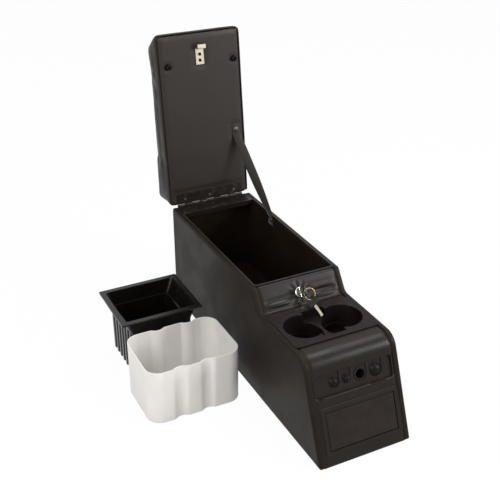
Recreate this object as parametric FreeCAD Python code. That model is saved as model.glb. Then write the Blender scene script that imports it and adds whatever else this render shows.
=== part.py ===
import FreeCAD, Part
import math
import os

from FreeCAD import Matrix, Placement, Rotation, Vector

# Padded floor console for a car: a deep bin under a hinged armrest lid, two cups,
# a panel of power fittings and a framed blanking plate, with its two loose bins
# standing on the floor beside it. Millimetres. X is across the car, the console's
# nose points to -Y, Z is up, and the origin is the middle of the underside.

# Overall form of the body
total_width = 220.0
total_length = 751.0
rim_height = 261.0
box_length = 445.0
slope_run = 33.0
slope_drop = 46.0
deck_length = 188.5
nose_radius = 38.0
hollow_radius = 16.0
brow_radius = 6.0
foot_radius = 3.0
side_thickness = 14.0
side_edge_radius = 4.5
cover_thickness = 5.0
cover_inset = 1.5
least_inner_radius = 0.5
cut_reach = 3.0
edge_share = 0.4

# Soft folds of the cover over the slope: ends across, drop from the rim, height, half width
fold_ridges = ((-94.0, -15.0, 47.0, 2.4, 6.0), (19.0, 95.0, 50.0, 2.4, 6.5))
fold_creases = ((15.0, 95.0, 38.0, 2.2, 5.5),)
fold_end_share = 0.25
fold_sink = 1.0

# Bin walls and floor
rear_thickness = 12.0
rail_depth = 46.0
rail_thickness = 12.0
bulkhead_thickness = 8.0
floor_top = 66.0
floor_thickness = 12.0
batten_depth = 40.0
batten_thickness = 16.0
bolt_spacing_x = 140.0
bolt_spacing_y = 600.0
bolt_hole_radius = 3.5
trim_width = 4.0
trim_rise = 1.4
trim_corner = 4.0
trim_chamfer = 0.4

# Lid, measured shut: along it from the hinge pin, and up from the pin
lid_open_angle = 96.7
lid_width = 220.0
lid_setback = 18.0
lid_nose_height = 66.0
lid_seam_height = 77.0
lid_rear_height = 90.0
lid_seam_place = 120.0
lid_step = 8.0
lid_edge_radius = 20.0
lid_side_radius = 11.0
lid_heel_radius = 9.0
lid_shift = -3.5
lid_nose_drop = 46.0
lid_nose_run = 32.0
lid_board_thickness = 10.0
lid_board_margin = 5.0
lid_board_corner = 6.0
lid_board_rear_play = 0.6
lid_gap = 1.5
pad_clearance = 0.3

# Piano hinge
hinge_width = 180.0
knuckle_count = 9
knuckle_radius = 3.0
knuckle_gap = 0.4
pin_radius = 1.2
pin_clearance = 0.05
leaf_thickness = 1.2
leaf_play = 0.4
body_leaf_depth = 38.0
lid_leaf_depth = 30.0
hinge_screw_spacing = 68.0
hinge_screw_length = 9.0
hinge_screw_radius = 1.6
hinge_screw_head_radius = 3.2
hinge_screw_slot_width = 0.8
hinge_screw_slot_depth = 0.5
hinge_pin_overhang = 1.0
screw_play = 0.05

# Lock on the slope, and its keys
lock_drop = 33.0
lock_radius = 9.5
lock_depth = 41.0
bezel_radius = 12.0
bezel_rise = 3.0
plug_radius = 6.5
plug_clearance = 0.05
nut_thickness = 4.0
nut_across = 26.0
cam_length = 57.0
cam_width = 12.0
cam_thickness = 2.0
cam_play = 1.0
cam_hub_radius = 7.0
cam_screw_radius = 1.55
cam_screw_head_radius = 3.4
cam_screw_head_depth = 2.2
cam_bore_radius = 1.6
plug_sink = 0.4
bulkhead_hole_play = 1.5
key_thickness = 2.0
key_width = 6.2
key_reach = 26.0
key_slot_play = 0.15
key_tang = 3.0
key_corner = 3.0
key_notch_count = 4
key_notch_depth = 1.2
key_notch_step = 0.5
key_notch_margin = 5.0
key_notch_share = 0.8
key_groove_width = 1.2
key_groove_depth = 0.5
key_head_length = 23.0
key_head_width = 21.0
key_head_thickness = 3.4
key_head_start = 7.0
key_hole_place = 18.0
key_hole_radius = 4.6
ring_radius = 12.8
ring_wire_radius = 0.8
ring_lean = 35.0
ring_turn = 46.0
spare_lean = 16.0
spare_roll = 45.0
spare_reach = 50.0

# Catch and small fittings on the lid
catch_length = 41.0
catch_setback = 57.0
catch_width = 21.0
catch_thickness = 2.0
catch_drop = 18.0
catch_tongue = 11.0
catch_screw_radius = 2.2
catch_screw_head_radius = 3.8
catch_screw_head_depth = 1.6
catch_screw_bite = 8.0
catch_screw_pitch = 2.4
catch_bend_radius = 2.4
catch_inner_bend = 0.5
bumper_setback = 95.0
bumper_places = (-87.0, 86.0)
bumper_radius = 8.0
bumper_height = 9.0
bumper_edge = 1.2
bumper_taper = 0.8
bumper_cup_share = 0.35
strap_width = 22.0
strap_thickness = 1.6
strap_place = 172.0
strap_offset = 82.0
strap_anchor_y = 147.0
strap_anchor_drop = 14.0
strap_tab = 12.0
strap_sections = 7
strap_screw_radius = 6.5
strap_screw_rise = 2.6

# Cup insert in the deck
insert_length = 124.0
insert_width = 200.0
insert_start = 22.0
insert_rise = 3.2
insert_corner = 8.0
insert_lip = 6.5
insert_side_play = 0.2
cup_radius = 43.5
cup_offset = 46.5
cup_depth = 62.0
cup_wall = 2.5
cup_step_depth = 44.0
cup_step = 4.0
handle_slot_width = 54.0
handle_slot_length = 101.0
handle_slot_depth = 20.0

# Panel of power fittings on the fascia, measured down from its top corner
panel_width = 186.0
panel_height = 50.0
panel_top = 38.0
panel_recess = 4.5
panel_wall = 1.6
panel_floor = 4.0
panel_corner = 7.0
panel_play = 0.3
channel_depth = 1.6
fitting_drop = 62.0
fitting_places = (-45.0, -15.5, 17.0, 54.0)
fitting_radii = (11.0, 8.8, 14.0, 13.8)
barrel_wall = 1.6
barrel_step = 2.0
flange_thickness = 2.2
socket_bore = 10.5
socket_depth = 42.0
outlet_bore = 7.4
outlet_depth = 34.0
button_bore = 5.2
button_depth = 18.0
contact_radius = 3.0
contact_head_radius = 4.5
contact_head_depth = 1.5
contact_clearance = 0.05
cap_rise = 5.5
cap_play = 0.06
cap_float = 0.3
cap_stem = 24.0
lighter_stem = 30.0
lighter_rise = 7.0
button_rise = 4.5
button_stem = 12.0
button_travel = 3.0
cap_skirt = 0.8
cap_margin = 0.9

# Blanking plate and its frame, lower on the fascia
frame_width = 186.0
frame_shift = 3.0
frame_top = 107.0
frame_foot = 22.5
frame_rise = 3.0
frame_corner = 6.0
plate_width = 162.0
plate_margin = 11.0
plate_thickness = 3.0
plate_gap = 1.2
plate_ledge = 4.0
plate_sink = 0.8
plate_edge = 0.8

# Loose black bin, on the floor beside the body
bin_width = 194.0
bin_length = 165.0
bin_height = 149.0
bin_flange = 9.5
bin_flange_thickness = 3.0
bin_flange_corner = 3.0
bin_lip = 4.0
bin_wall = 2.5
bin_corner = 8.0
collar_depth = 40.0
collar_run_x = 15.0
collar_run_y = 2.0
bin_step_x = 4.5
bin_step_y = 3.5
bin_taper = 3.0
bin_rib_pitch = 20.0
bin_rib_count = 7
bin_rib_width = 11.0
bin_rib_depth = 5.0
bin_x = -257.0
bin_y = 164.5

# Loose pale liner with fluted walls, in front of the bin
liner_width = 216.0
liner_length = 161.0
liner_height = 130.0
liner_wall = 2.2
liner_corner = 32.0
liner_flute_radius = 20.0
liner_flute_depth = 6.5
liner_flute_blend = 14.0
liner_front_flutes = (-38.0, 25.0)
liner_rear_flutes = (-27.0, 46.0)
liner_x = -251.0
liner_y = -14.5

# Sizes that follow from those above
deck_height = rim_height - slope_drop
lid_length = box_length - lid_setback
catch_end = box_length - catch_setback
catch_start = catch_end - catch_length
bumper_place = box_length - bumper_setback

# Places worked out from the sizes
half_width = total_width / 2.0
inner_half = half_width - side_thickness
rear_y = total_length / 2.0
front_y = -total_length / 2.0
top_front_y = rear_y - box_length
junction_y = top_front_y - slope_run
corner_y = junction_y - deck_length
well_front_y = top_front_y + cover_inset + bulkhead_thickness
pin_y = rear_y
pin_z = rim_height + lid_gap
overshoot = 60.0
edge_tolerance = 0.01
end_margin = 1.0


def save(name, shape):
    """Write one sub-part to its own file."""
    shape.exportStep(os.path.join("parts", name + ".step"))


def box(x0, x1, y0, y1, z0, z1):
    """Block between two corners."""
    return Part.makeBox(x1 - x0, y1 - y0, z1 - z0, Vector(x0, y0, z0))


def group(shapes):
    """Several separate solids as one node."""
    return Part.makeCompound(shapes)


def cylinder(radius, start, end):
    """Round bar from one point to another."""
    along = end.sub(start)
    return Part.makeCylinder(radius, along.Length, start, along)


def cone(start_radius, end_radius, start, end):
    """Tapered round bar from one point to another."""
    along = end.sub(start)
    return Part.makeCone(start_radius, end_radius, along.Length, start, along)


def rounded_wire(points, radii):
    """Closed outline through the points, each corner rounded by its radius."""
    edges = []
    count = len(points)
    previous_end = None
    first_start = None
    for i in range(count):
        corner = points[i]
        back = points[i - 1].sub(corner)
        ahead = points[(i + 1) % count].sub(corner)
        back.normalize()
        ahead.normalize()
        start = corner
        end = corner
        if radii[i] > 0:
            half = back.getAngle(ahead) / 2.0
            reach = radii[i] / math.tan(half)
            start = corner + back * reach
            end = corner + ahead * reach
            middle_way = back + ahead
            middle_way.normalize()
            middle = corner + middle_way * (radii[i] / math.sin(half) - radii[i])
        if previous_end is None:
            first_start = start
        else:
            edges.append(Part.LineSegment(previous_end, start).toShape())
        if radii[i] > 0:
            edges.append(Part.Arc(start, middle, end).toShape())
        previous_end = end
    edges.append(Part.LineSegment(previous_end, first_start).toShape())
    return Part.Wire(edges)


def prism_x(outline, radii, x0, x1):
    """Solid with a side outline of (y, z) pairs between two X planes."""
    points = [Vector(x0, y, z) for y, z in outline]
    return Part.Face(rounded_wire(points, radii)).extrude(Vector(x1 - x0, 0, 0))


def rounded_block(x0, x1, y0, y1, z0, z1, radius):
    """Block with its four upright edges rounded."""
    points = [Vector(x0, y0, z0), Vector(x1, y0, z0), Vector(x1, y1, z0), Vector(x0, y1, z0)]
    return Part.Face(rounded_wire(points, [radius] * 4)).extrude(Vector(0, 0, z1 - z0))


def shifted(points, distance):
    """Open chain of (y, z) pairs moved sideways, into the body."""
    lines = []
    for (y0, z0), (y1, z1) in zip(points, points[1:]):
        length = math.hypot(y1 - y0, z1 - z0)
        dy = (y1 - y0) / length
        dz = (z1 - z0) / length
        lines.append((y0 - dz * distance, z0 + dy * distance, dy, dz, length))
    moved = [(lines[0][0], lines[0][1])]
    for (ay, az, ady, adz, _), (by, bz, bdy, bdz, _) in zip(lines, lines[1:]):
        cross = ady * bdz - adz * bdy
        run = ((by - ay) * bdz - (bz - az) * bdy) / cross
        moved.append((ay + ady * run, az + adz * run))
    last = lines[-1]
    moved.append((last[0] + last[2] * last[4], last[1] + last[3] * last[4]))
    return moved


def face_frame(y, z, up_y, up_z, out_y, out_z):
    """Placement of a sloping face: X across, then up the face, then out of it."""
    frame = Matrix()
    frame.A12 = 0.0
    frame.A22 = up_y
    frame.A32 = up_z
    frame.A13 = 0.0
    frame.A23 = out_y
    frame.A33 = out_z
    frame.A24 = y
    frame.A34 = z
    return Placement(frame)


def put(shape, placement):
    """Copy of a shape moved by a placement."""
    moved = shape.copy()
    moved.Placement = placement.multiply(shape.Placement)
    return moved


def outer_face_edges(shape, x):
    """Edges that lie wholly in one X plane."""
    found = []
    for edge in shape.Edges:
        box_of_edge = edge.BoundBox
        if max(abs(box_of_edge.XMin - x), abs(box_of_edge.XMax - x)) < edge_tolerance:
            found.append(edge)
    return found


def edges_at_top(shape, level):
    """Edges that lie wholly at a level, at the top of a shape."""
    return [edge for edge in shape.Edges if edge.BoundBox.ZMin > level - edge_tolerance]


def edges_at_foot(shape, level):
    """Edges that lie wholly at a level, at the foot of a shape."""
    return [edge for edge in shape.Edges if edge.BoundBox.ZMax < level + edge_tolerance]


def circular_edges(shape):
    """Closed round edges of a bar."""
    return [edge for edge in shape.Edges if isinstance(edge.Curve, Part.Circle)]


# Chain of corners over the front: rim, brow, hollow, nose and foot
def front_chain(start_y):
    """Corners of the body's side outline, from a start on the rim down to below the foot."""
    foot_run = (corner_y - front_y) / deck_height
    return [
        (start_y, rim_height),
        (top_front_y, rim_height),
        (junction_y, deck_height),
        (corner_y, deck_height),
        (front_y - overshoot * foot_run, -overshoot),
    ]


slope_length = math.hypot(slope_run, rim_height - deck_height)
slope_up = (slope_run / slope_length, (rim_height - deck_height) / slope_length)
slope_out = (-slope_up[1], slope_up[0])
lock_frame = face_frame(
    top_front_y - slope_up[0] * lock_drop - slope_out[0] * cover_inset,
    rim_height - slope_up[1] * lock_drop - slope_out[1] * cover_inset,
    slope_up[0], slope_up[1], slope_out[0], slope_out[1],
)
fascia_length = math.hypot(corner_y - front_y, deck_height)
fascia_up = ((corner_y - front_y) / fascia_length, deck_height / fascia_length)
fascia_out = (-fascia_up[1], fascia_up[0])
frame_height = fascia_length - frame_top - frame_foot
plate_height = frame_height - 2 * plate_margin
fascia_frame_place = face_frame(
    corner_y - fascia_out[0] * cover_inset, deck_height - fascia_out[1] * cover_inset,
    fascia_up[0], fascia_up[1], fascia_out[0], fascia_out[1],
)
frame_place = Placement(Vector(frame_shift, 0, 0), Rotation()).multiply(fascia_frame_place)
deck_top = deck_height - cover_inset
lid_swing = Placement(
    Vector(0, 0, 0), Rotation(Vector(1, 0, 0), -lid_open_angle), Vector(0, pin_y, pin_z)
)


def opened(shape):
    """A lid piece, modelled shut, swung to where the strap holds it."""
    return put(shape, lid_swing)


def above_floor(shape):
    """The part of a shape above the floor."""
    reach = total_length
    return shape.common(box(-reach, reach, -reach, reach, 0, reach))


# Body panels
def side_panel(sign):
    """Side of the body, with a rolled outer edge; the right one has the strap's screw hole."""
    outline = [(rear_y, 0), (rear_y, rim_height)] + front_chain(rear_y)[1:4] + [(front_y, 0)]
    radii = [foot_radius, foot_radius, brow_radius, hollow_radius, nose_radius, foot_radius]
    outer = sign * half_width
    panel = prism_x(outline, radii, sign * inner_half, outer)
    panel = panel.makeFillet(side_edge_radius, outer_face_edges(panel, outer))
    anchor = strap_hole(sign)
    return panel.cut(anchor) if sign > 0 else panel


def strap_hole(sign):
    """Pilot hole for the strap's screw in a side panel."""
    y = rear_y - strap_anchor_y
    z = rim_height - strap_anchor_drop
    reach = hinge_screw_length + screw_play
    start = Vector(sign * inner_half, y, z)
    return cylinder(hinge_screw_radius + screw_play, start, start + Vector(sign * reach, 0, 0))


def rear_panel():
    """Upright board across the back."""
    top = rim_height - rail_thickness
    return box(-inner_half, inner_half, rear_y - rear_thickness, rear_y, 0, top)


def hinge_screw_places():
    """Places across of the hinge's screws."""
    return [lid_shift + place for place in (-hinge_screw_spacing, 0.0, hinge_screw_spacing)]


def hinge_barrel(play):
    """Round space around the hinge pin, across the whole body."""
    start = Vector(-total_width, pin_y, pin_z)
    return cylinder(knuckle_radius + play, start, Vector(total_width, pin_y, pin_z))


def rear_rail():
    """Rail across the top of the back that carries the hinge."""
    rail = box(
        -inner_half, inner_half, rear_y - rail_depth, rear_y, rim_height - rail_thickness, rim_height
    )
    rail = rail.cut(hinge_barrel(leaf_play))
    y = rear_y - body_leaf_depth / 2.0
    for x in hinge_screw_places():
        top = Vector(x, y, rim_height)
        hole = cylinder(hinge_screw_radius + screw_play, top - Vector(0, 0, hinge_screw_length), top)
        rail = rail.cut(hole)
    return rail


def bulkhead():
    """Front wall of the deep bin, with a hole for the lock, under the cover."""
    top = rim_height - cover_inset - cover_thickness
    wall = box(
        -inner_half, inner_half, well_front_y - bulkhead_thickness, well_front_y,
        floor_top - floor_thickness, top,
    )
    inner = shifted(front_chain(rear_y), cover_inset + cover_thickness)
    space = prism_x(
        [(rear_y, -overshoot)] + inner, [0] + cover_inner_radii(), -inner_half, inner_half
    )
    wall = wall.common(space)
    hole = cylinder(
        lock_radius + bulkhead_hole_play, Vector(0, 0, 0), Vector(0, 0, -lock_depth * 2)
    )
    return wall.cut(put(hole, lock_frame))


def cover_inner_radii():
    """Corner radii along the underside of the front cover, rear end first."""
    return [
        0, max(brow_radius - cover_thickness, least_inner_radius), hollow_radius + cover_thickness,
        max(nose_radius - cover_thickness, least_inner_radius), 0,
    ]


def well_floor():
    """Raised floor of the deep bin."""
    return box(
        -inner_half, inner_half, well_front_y, rear_y - rear_thickness,
        floor_top - floor_thickness, floor_top,
    )


def base_battens():
    """Three cross battens, the outer two with holes for the floor bolts."""
    battens = []
    for place in (-bolt_spacing_y / 2.0, 0.0, bolt_spacing_y / 2.0):
        batten = box(
            -inner_half, inner_half, place - batten_depth / 2.0, place + batten_depth / 2.0,
            0, batten_thickness,
        )
        if place != 0.0:
            for x in (-bolt_spacing_x / 2.0, bolt_spacing_x / 2.0):
                foot = Vector(x, place, 0)
                batten = batten.cut(
                    cylinder(bolt_hole_radius, foot, foot + Vector(0, 0, batten_thickness))
                )
        battens.append(batten)
    return group(battens)


# Front cover: one padded sheet over brow, slope, deck, nose and fascia
def front_cover():
    """Padded sheet with its folds, and holes for the lock, the cups, the panel and the frame."""
    chain = front_chain(well_front_y)
    outer = shifted(chain, cover_inset)
    inner = shifted(chain, cover_inset + cover_thickness)
    radii = [0, brow_radius, hollow_radius, nose_radius, 0]
    outline = outer + inner[::-1]
    sheet = prism_x(outline, radii + cover_inner_radii()[::-1], -inner_half, inner_half)
    sheet = above_floor(sheet)
    for start, end, drop, height, half in fold_ridges:
        sheet = sheet.fuse(fold(start, end, drop, height, half))
    for start, end, drop, height, half in fold_creases:
        sheet = sheet.cut(fold(start, end, drop, -height, half))
    for opening in (lock_opening(), insert_opening(), panel_opening(), frame_opening()):
        sheet = sheet.cut(opening)
    return sheet.removeSplitter()


def fold(start, end, drop, height, half):
    """Spindle across the slope: a ridge to add, or with a height below zero a crease to cut."""
    sink = math.copysign(fold_sink, -height)
    run = end - start
    stations = [
        (start, fold_end_share, sink / 2.0), (start + run * fold_end_share, 1.0, height),
        (end - run * fold_end_share, 1.0, height), (end, fold_end_share, sink / 2.0),
    ]
    wires = []
    for x, share, crest in stations:
        near = Vector(x, lock_drop - drop - half * share, sink)
        far = Vector(x, lock_drop - drop + half * share, sink)
        arc = Part.Arc(near, Vector(x, lock_drop - drop, crest), far).toShape()
        wires.append(Part.Wire([arc, Part.LineSegment(far, near).toShape()]))
    return put(Part.makeLoft(wires, True, False), lock_frame)


def lock_opening():
    """Hole in the cover for the lock's barrel."""
    hole = cylinder(lock_radius, Vector(0, 0, -lock_depth), Vector(0, 0, lock_depth))
    return put(hole, lock_frame)


def insert_well_size():
    """Half width and the two ends, in Y, of the hole for the cup insert."""
    half = insert_width / 2.0 - insert_lip
    start = junction_y - insert_start - insert_lip
    end = junction_y - insert_start - insert_length + insert_lip
    return half, start, end


def insert_opening():
    """Hole in the deck for the cup insert."""
    half, start, end = insert_well_size()
    return rounded_block(
        -half, half, end, start, deck_top - cover_thickness * cut_reach, deck_top + cover_thickness,
        insert_corner,
    )


def fascia_block(width, height, top, low, high, radius):
    """Rounded block in the fascia's own frame, measured down from its top corner."""
    return rounded_block(-width / 2.0, width / 2.0, -top - height, -top, low, high, radius)


def panel_opening():
    """Hole in the fascia for the tray of fittings."""
    reach = cover_thickness * cut_reach
    hole = fascia_block(panel_width, panel_height, panel_top, -reach, reach, panel_corner)
    return put(hole, fascia_frame_place)


def frame_lip():
    """How far the frame's face reaches past the hole it stands in."""
    return (frame_width - plate_width) / 4.0


def frame_opening():
    """Hole in the fascia for the collar of the plate's frame."""
    lip = frame_lip()
    reach = cover_thickness * cut_reach
    hole = fascia_block(
        frame_width - 2 * lip, frame_height - 2 * lip, frame_top + lip, -reach, reach, frame_corner
    )
    return put(hole, frame_place)


def rim_trim():
    """Bead round three sides of the opening; its front stretch stands on the lower cover."""
    top = rim_height + trim_rise
    inside = rounded_block(
        -inner_half, inner_half, well_front_y, rear_y + total_width, 0, top, trim_corner
    )
    around = rounded_block(
        -inner_half - trim_width, inner_half + trim_width, well_front_y - trim_width,
        rear_y + total_width, rim_height, top, trim_corner + trim_width,
    )
    foot = box(
        -inner_half, inner_half, well_front_y - trim_width, well_front_y + trim_corner,
        rim_height - cover_inset, rim_height,
    )
    behind = box(
        -total_width, total_width, rear_y - rail_depth, rear_y + total_width * 2, 0, top
    )
    bead = around.fuse(foot).cut(inside).cut(behind).removeSplitter()
    end_y = rear_y - rail_depth - edge_tolerance
    round_edges = [e for e in edges_at_top(bead, top) if e.BoundBox.YMin < end_y]
    return bead.makeChamfer(trim_rise * trim_chamfer, round_edges)


# Cup insert: a flange with two stepped cups and a slot for mug handles
def insert_middle_y():
    """Middle of the cup insert, along the body."""
    return junction_y - insert_start - insert_length / 2.0


def cup_insert():
    """Flange, two stepped cups and the shallow slot between them, moulded in one."""
    middle = insert_middle_y()
    top = deck_top + insert_rise
    flange = rounded_block(
        -insert_width / 2.0, insert_width / 2.0, middle - insert_length / 2.0,
        middle + insert_length / 2.0, deck_height, top, insert_corner,
    )
    flange = flange.makeChamfer((top - deck_height) * edge_share, edges_at_top(flange, top))
    under_half = inner_half - insert_side_play
    under = rounded_block(
        -under_half, under_half, middle - insert_length / 2.0, middle + insert_length / 2.0,
        deck_top, deck_height, insert_corner,
    )
    body = flange.fuse(under)
    for x in (-cup_offset, cup_offset):
        foot = Vector(x, middle, top - cup_depth - cup_wall)
        body = body.fuse(cylinder(cup_radius + cup_wall, foot, Vector(x, middle, top)))
    slot_half = handle_slot_width / 2.0
    slot_end = handle_slot_length / 2.0
    body = body.fuse(
        box(
            -slot_half, slot_half, middle - slot_end - cup_wall, middle + slot_end + cup_wall,
            top - handle_slot_depth - cup_wall, top,
        )
    )
    for x in (-cup_offset, cup_offset):
        upper = cylinder(cup_radius, Vector(x, middle, top - cup_step_depth), Vector(x, middle, top))
        lower = cylinder(
            cup_radius - cup_step, Vector(x, middle, top - cup_depth), Vector(x, middle, top)
        )
        body = body.cut(upper).cut(lower)
    slot = rounded_block(
        -slot_half, slot_half, middle - slot_end, middle + slot_end, top - handle_slot_depth, top,
        insert_corner / 2.0,
    )
    return body.cut(slot).removeSplitter()


# Tray for the power fittings, with a finger channel up from each fitting
def barrel_radius(flange_radius):
    """Radius of the barrel behind a fitting's flange."""
    return flange_radius - barrel_step


def socket_panel():
    """Recessed tray with a channel and a round hole for each fitting."""
    width = panel_width - 2 * panel_play
    height = panel_height - 2 * panel_play
    top = panel_top + panel_play
    back = -panel_recess - panel_floor
    tray = rounded_block(
        -width / 2.0, width / 2.0, -top - height, -top, back, 0, panel_corner - panel_play
    )
    inner_width = width - 2 * panel_wall
    inner_height = height - 2 * panel_wall
    hollow = rounded_block(
        -inner_width / 2.0, inner_width / 2.0, -top - panel_wall - inner_height, -top - panel_wall,
        -panel_recess, panel_recess, panel_corner - panel_play - panel_wall,
    )
    tray = tray.cut(hollow)
    for x, radius in zip(fitting_places, fitting_radii):
        centre = Vector(x, -fitting_drop, 0)
        reach = radius + channel_depth
        floor = -panel_recess - channel_depth
        channel = box(x - reach, x + reach, -fitting_drop, -top - panel_wall, floor, 0)
        end = cylinder(reach, centre + Vector(0, 0, floor), centre)
        tray = tray.cut(channel).cut(end)
        hole = cylinder(barrel_radius(radius), centre + Vector(0, 0, back), centre)
        tray = tray.cut(hole)
    return put(tray.removeSplitter(), fascia_frame_place)


def fitting_seat():
    """Height of the channel floor that a fitting's flange rests on."""
    return -panel_recess - channel_depth


def socket_shell(index, depth, bore):
    """Flanged barrel, open at the front and closed behind."""
    x = fitting_places[index]
    radius = fitting_radii[index]
    centre = Vector(x, -fitting_drop, 0)
    seat = fitting_seat()
    flange = cylinder(
        radius, centre + Vector(0, 0, seat), centre + Vector(0, 0, seat + flange_thickness)
    )
    rim = edges_at_top(flange, seat + flange_thickness)
    flange = flange.makeChamfer(flange_thickness * edge_share, rim)
    barrel = cylinder(
        barrel_radius(radius), centre + Vector(0, 0, seat - depth), centre + Vector(0, 0, seat)
    )
    hole = cylinder(
        bore, centre + Vector(0, 0, seat - depth + barrel_wall),
        centre + Vector(0, 0, seat + flange_thickness),
    )
    return flange.fuse(barrel).cut(hole)


def contact_foot():
    """Middle of the back of the power socket, in the fascia's frame."""
    x = fitting_places[2]
    return Vector(x, -fitting_drop, fitting_seat() - socket_depth)


def power_socket():
    """Twelve-volt socket with a hole in its closed end for the centre contact."""
    foot = contact_foot()
    hole = cylinder(contact_radius + contact_clearance, foot, foot + Vector(0, 0, barrel_wall))
    shell = socket_shell(2, socket_depth, socket_bore).cut(hole)
    return put(shell, fascia_frame_place)


def centre_contact():
    """Headed stud through the closed end, flush with the floor of the socket."""
    foot = contact_foot()
    stud = cylinder(contact_radius, foot, foot + Vector(0, 0, barrel_wall))
    head = cylinder(contact_head_radius, foot - Vector(0, 0, contact_head_depth), foot)
    return put(stud.fuse(head), fascia_frame_place)


def domed_plug(index, bore, depth, rise, travel):
    """Domed head over a flange, on a stem that fits the barrel."""
    x = fitting_places[index]
    radius = fitting_radii[index]
    base = fitting_seat() + flange_thickness + cap_float + travel
    head_radius = radius - cap_margin
    sphere_radius = (head_radius * head_radius + rise * rise) / (2.0 * rise)
    centre = Vector(x, -fitting_drop, base + rise - sphere_radius)
    dome = Part.makeSphere(sphere_radius, centre)
    foot = Vector(x, -fitting_drop, base)
    keep = cylinder(head_radius, foot, foot + Vector(0, 0, rise * 2))
    head = dome.common(keep)
    skirt = cylinder(
        head_radius, Vector(x, -fitting_drop, base), Vector(x, -fitting_drop, base + cap_skirt)
    )
    stem = cylinder(
        bore - cap_play, Vector(x, -fitting_drop, base - depth), Vector(x, -fitting_drop, base)
    )
    return put(head.fuse(skirt).fuse(stem).removeSplitter(), fascia_frame_place)


# Frame and blanking plate
def fascia_frame():
    """Raised frame with a collar behind it and a ledge for the plate."""
    lip = frame_lip()
    face = rounded_block(
        -frame_width / 2.0, frame_width / 2.0, -frame_top - frame_height, -frame_top, 0, frame_rise,
        frame_corner,
    )
    face = face.makeChamfer(frame_rise * edge_share, edges_at_top(face, frame_rise))
    back = -cover_thickness - plate_thickness
    collar = rounded_block(
        -frame_width / 2.0 + lip, frame_width / 2.0 - lip, -frame_top - frame_height + lip,
        -frame_top - lip, back, 0, frame_corner,
    )
    body = face.fuse(collar)
    mouth_half = plate_width / 2.0 + plate_gap
    middle = -frame_top - frame_height / 2.0
    mouth_reach = plate_height / 2.0 + plate_gap
    floor = frame_rise - plate_sink - plate_thickness
    mouth = box(
        -mouth_half, mouth_half, middle - mouth_reach, middle + mouth_reach, floor, frame_rise
    )
    through = box(
        -plate_width / 2.0 + plate_ledge, plate_width / 2.0 - plate_ledge,
        middle - plate_height / 2.0 + plate_ledge, middle + plate_height / 2.0 - plate_ledge,
        back, frame_rise,
    )
    return put(body.cut(mouth).cut(through).removeSplitter(), frame_place)


def blanking_plate():
    """Plain plate that closes the frame."""
    middle = -frame_top - frame_height / 2.0
    top = frame_rise - plate_sink
    plate = box(
        -plate_width / 2.0, plate_width / 2.0, middle - plate_height / 2.0,
        middle + plate_height / 2.0, top - plate_thickness, top,
    )
    return put(plate.makeChamfer(plate_edge, edges_at_top(plate, top)), frame_place)


# Lock, keys and key ring
def lock_housing():
    """Barrel and bezel of the lock."""
    barrel = cylinder(lock_radius, Vector(0, 0, -lock_depth), Vector(0, 0, 0))
    bezel = cylinder(bezel_radius, Vector(0, 0, 0), Vector(0, 0, bezel_rise))
    bezel = bezel.makeChamfer(bezel_rise * edge_share, edges_at_top(bezel, bezel_rise))
    bore = cylinder(
        plug_radius + plug_clearance, Vector(0, 0, -lock_depth), Vector(0, 0, bezel_rise)
    )
    return put(barrel.fuse(bezel).cut(bore), lock_frame)


def lock_nut():
    """Six-sided nut behind the cover."""
    points = []
    for i in range(6):
        angle = math.radians(60 * i)
        reach = nut_across / 2.0 / math.cos(math.radians(30))
        points.append(Vector(reach * math.cos(angle), reach * math.sin(angle), -cover_thickness))
    blank = Part.Face(rounded_wire(points, [0] * 6)).extrude(Vector(0, 0, -nut_thickness))
    hole = cylinder(lock_radius, Vector(0, 0, -lock_depth), Vector(0, 0, 0))
    return put(blank.cut(hole), lock_frame)


def cam_level():
    """Top of the cam, behind the end of the housing."""
    return -lock_depth - cam_play


def lock_plug():
    """Turning plug with the key's slot."""
    plug = cylinder(plug_radius, Vector(0, 0, cam_level()), Vector(0, 0, bezel_rise - plug_sink))
    slot = box(
        -key_thickness / 2.0 - key_slot_play, key_thickness / 2.0 + key_slot_play,
        -key_width / 2.0 - key_slot_play, key_width / 2.0 + key_slot_play,
        -key_reach - key_slot_play, bezel_rise,
    )
    return put(plug.cut(slot), lock_frame)


def lock_cam():
    """Flat cam that passes over the lid's catch."""
    high = cam_level()
    low = high - cam_thickness
    half = cam_width / 2.0
    plate = box(0, cam_length - half, -half, half, low, high)
    hub = cylinder(cam_hub_radius, Vector(0, 0, low), Vector(0, 0, high))
    tip = cylinder(half, Vector(cam_length - half, 0, low), Vector(cam_length - half, 0, high))
    hole = cylinder(cam_bore_radius, Vector(0, 0, low), Vector(0, 0, high))
    return put(plate.fuse(hub).fuse(tip).cut(hole).removeSplitter(), lock_frame)


def cam_screw():
    """Screw that holds the cam to the plug."""
    seat = cam_level() - cam_thickness
    low = seat - cam_screw_head_depth
    shank = cylinder(cam_screw_radius, Vector(0, 0, seat), Vector(0, 0, seat + cam_thickness))
    head = cylinder(cam_screw_head_radius, Vector(0, 0, low), Vector(0, 0, seat))
    head = head.makeChamfer(cam_screw_head_depth * edge_share, edges_at_foot(head, low))
    return put(head.fuse(shank), lock_frame)


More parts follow.
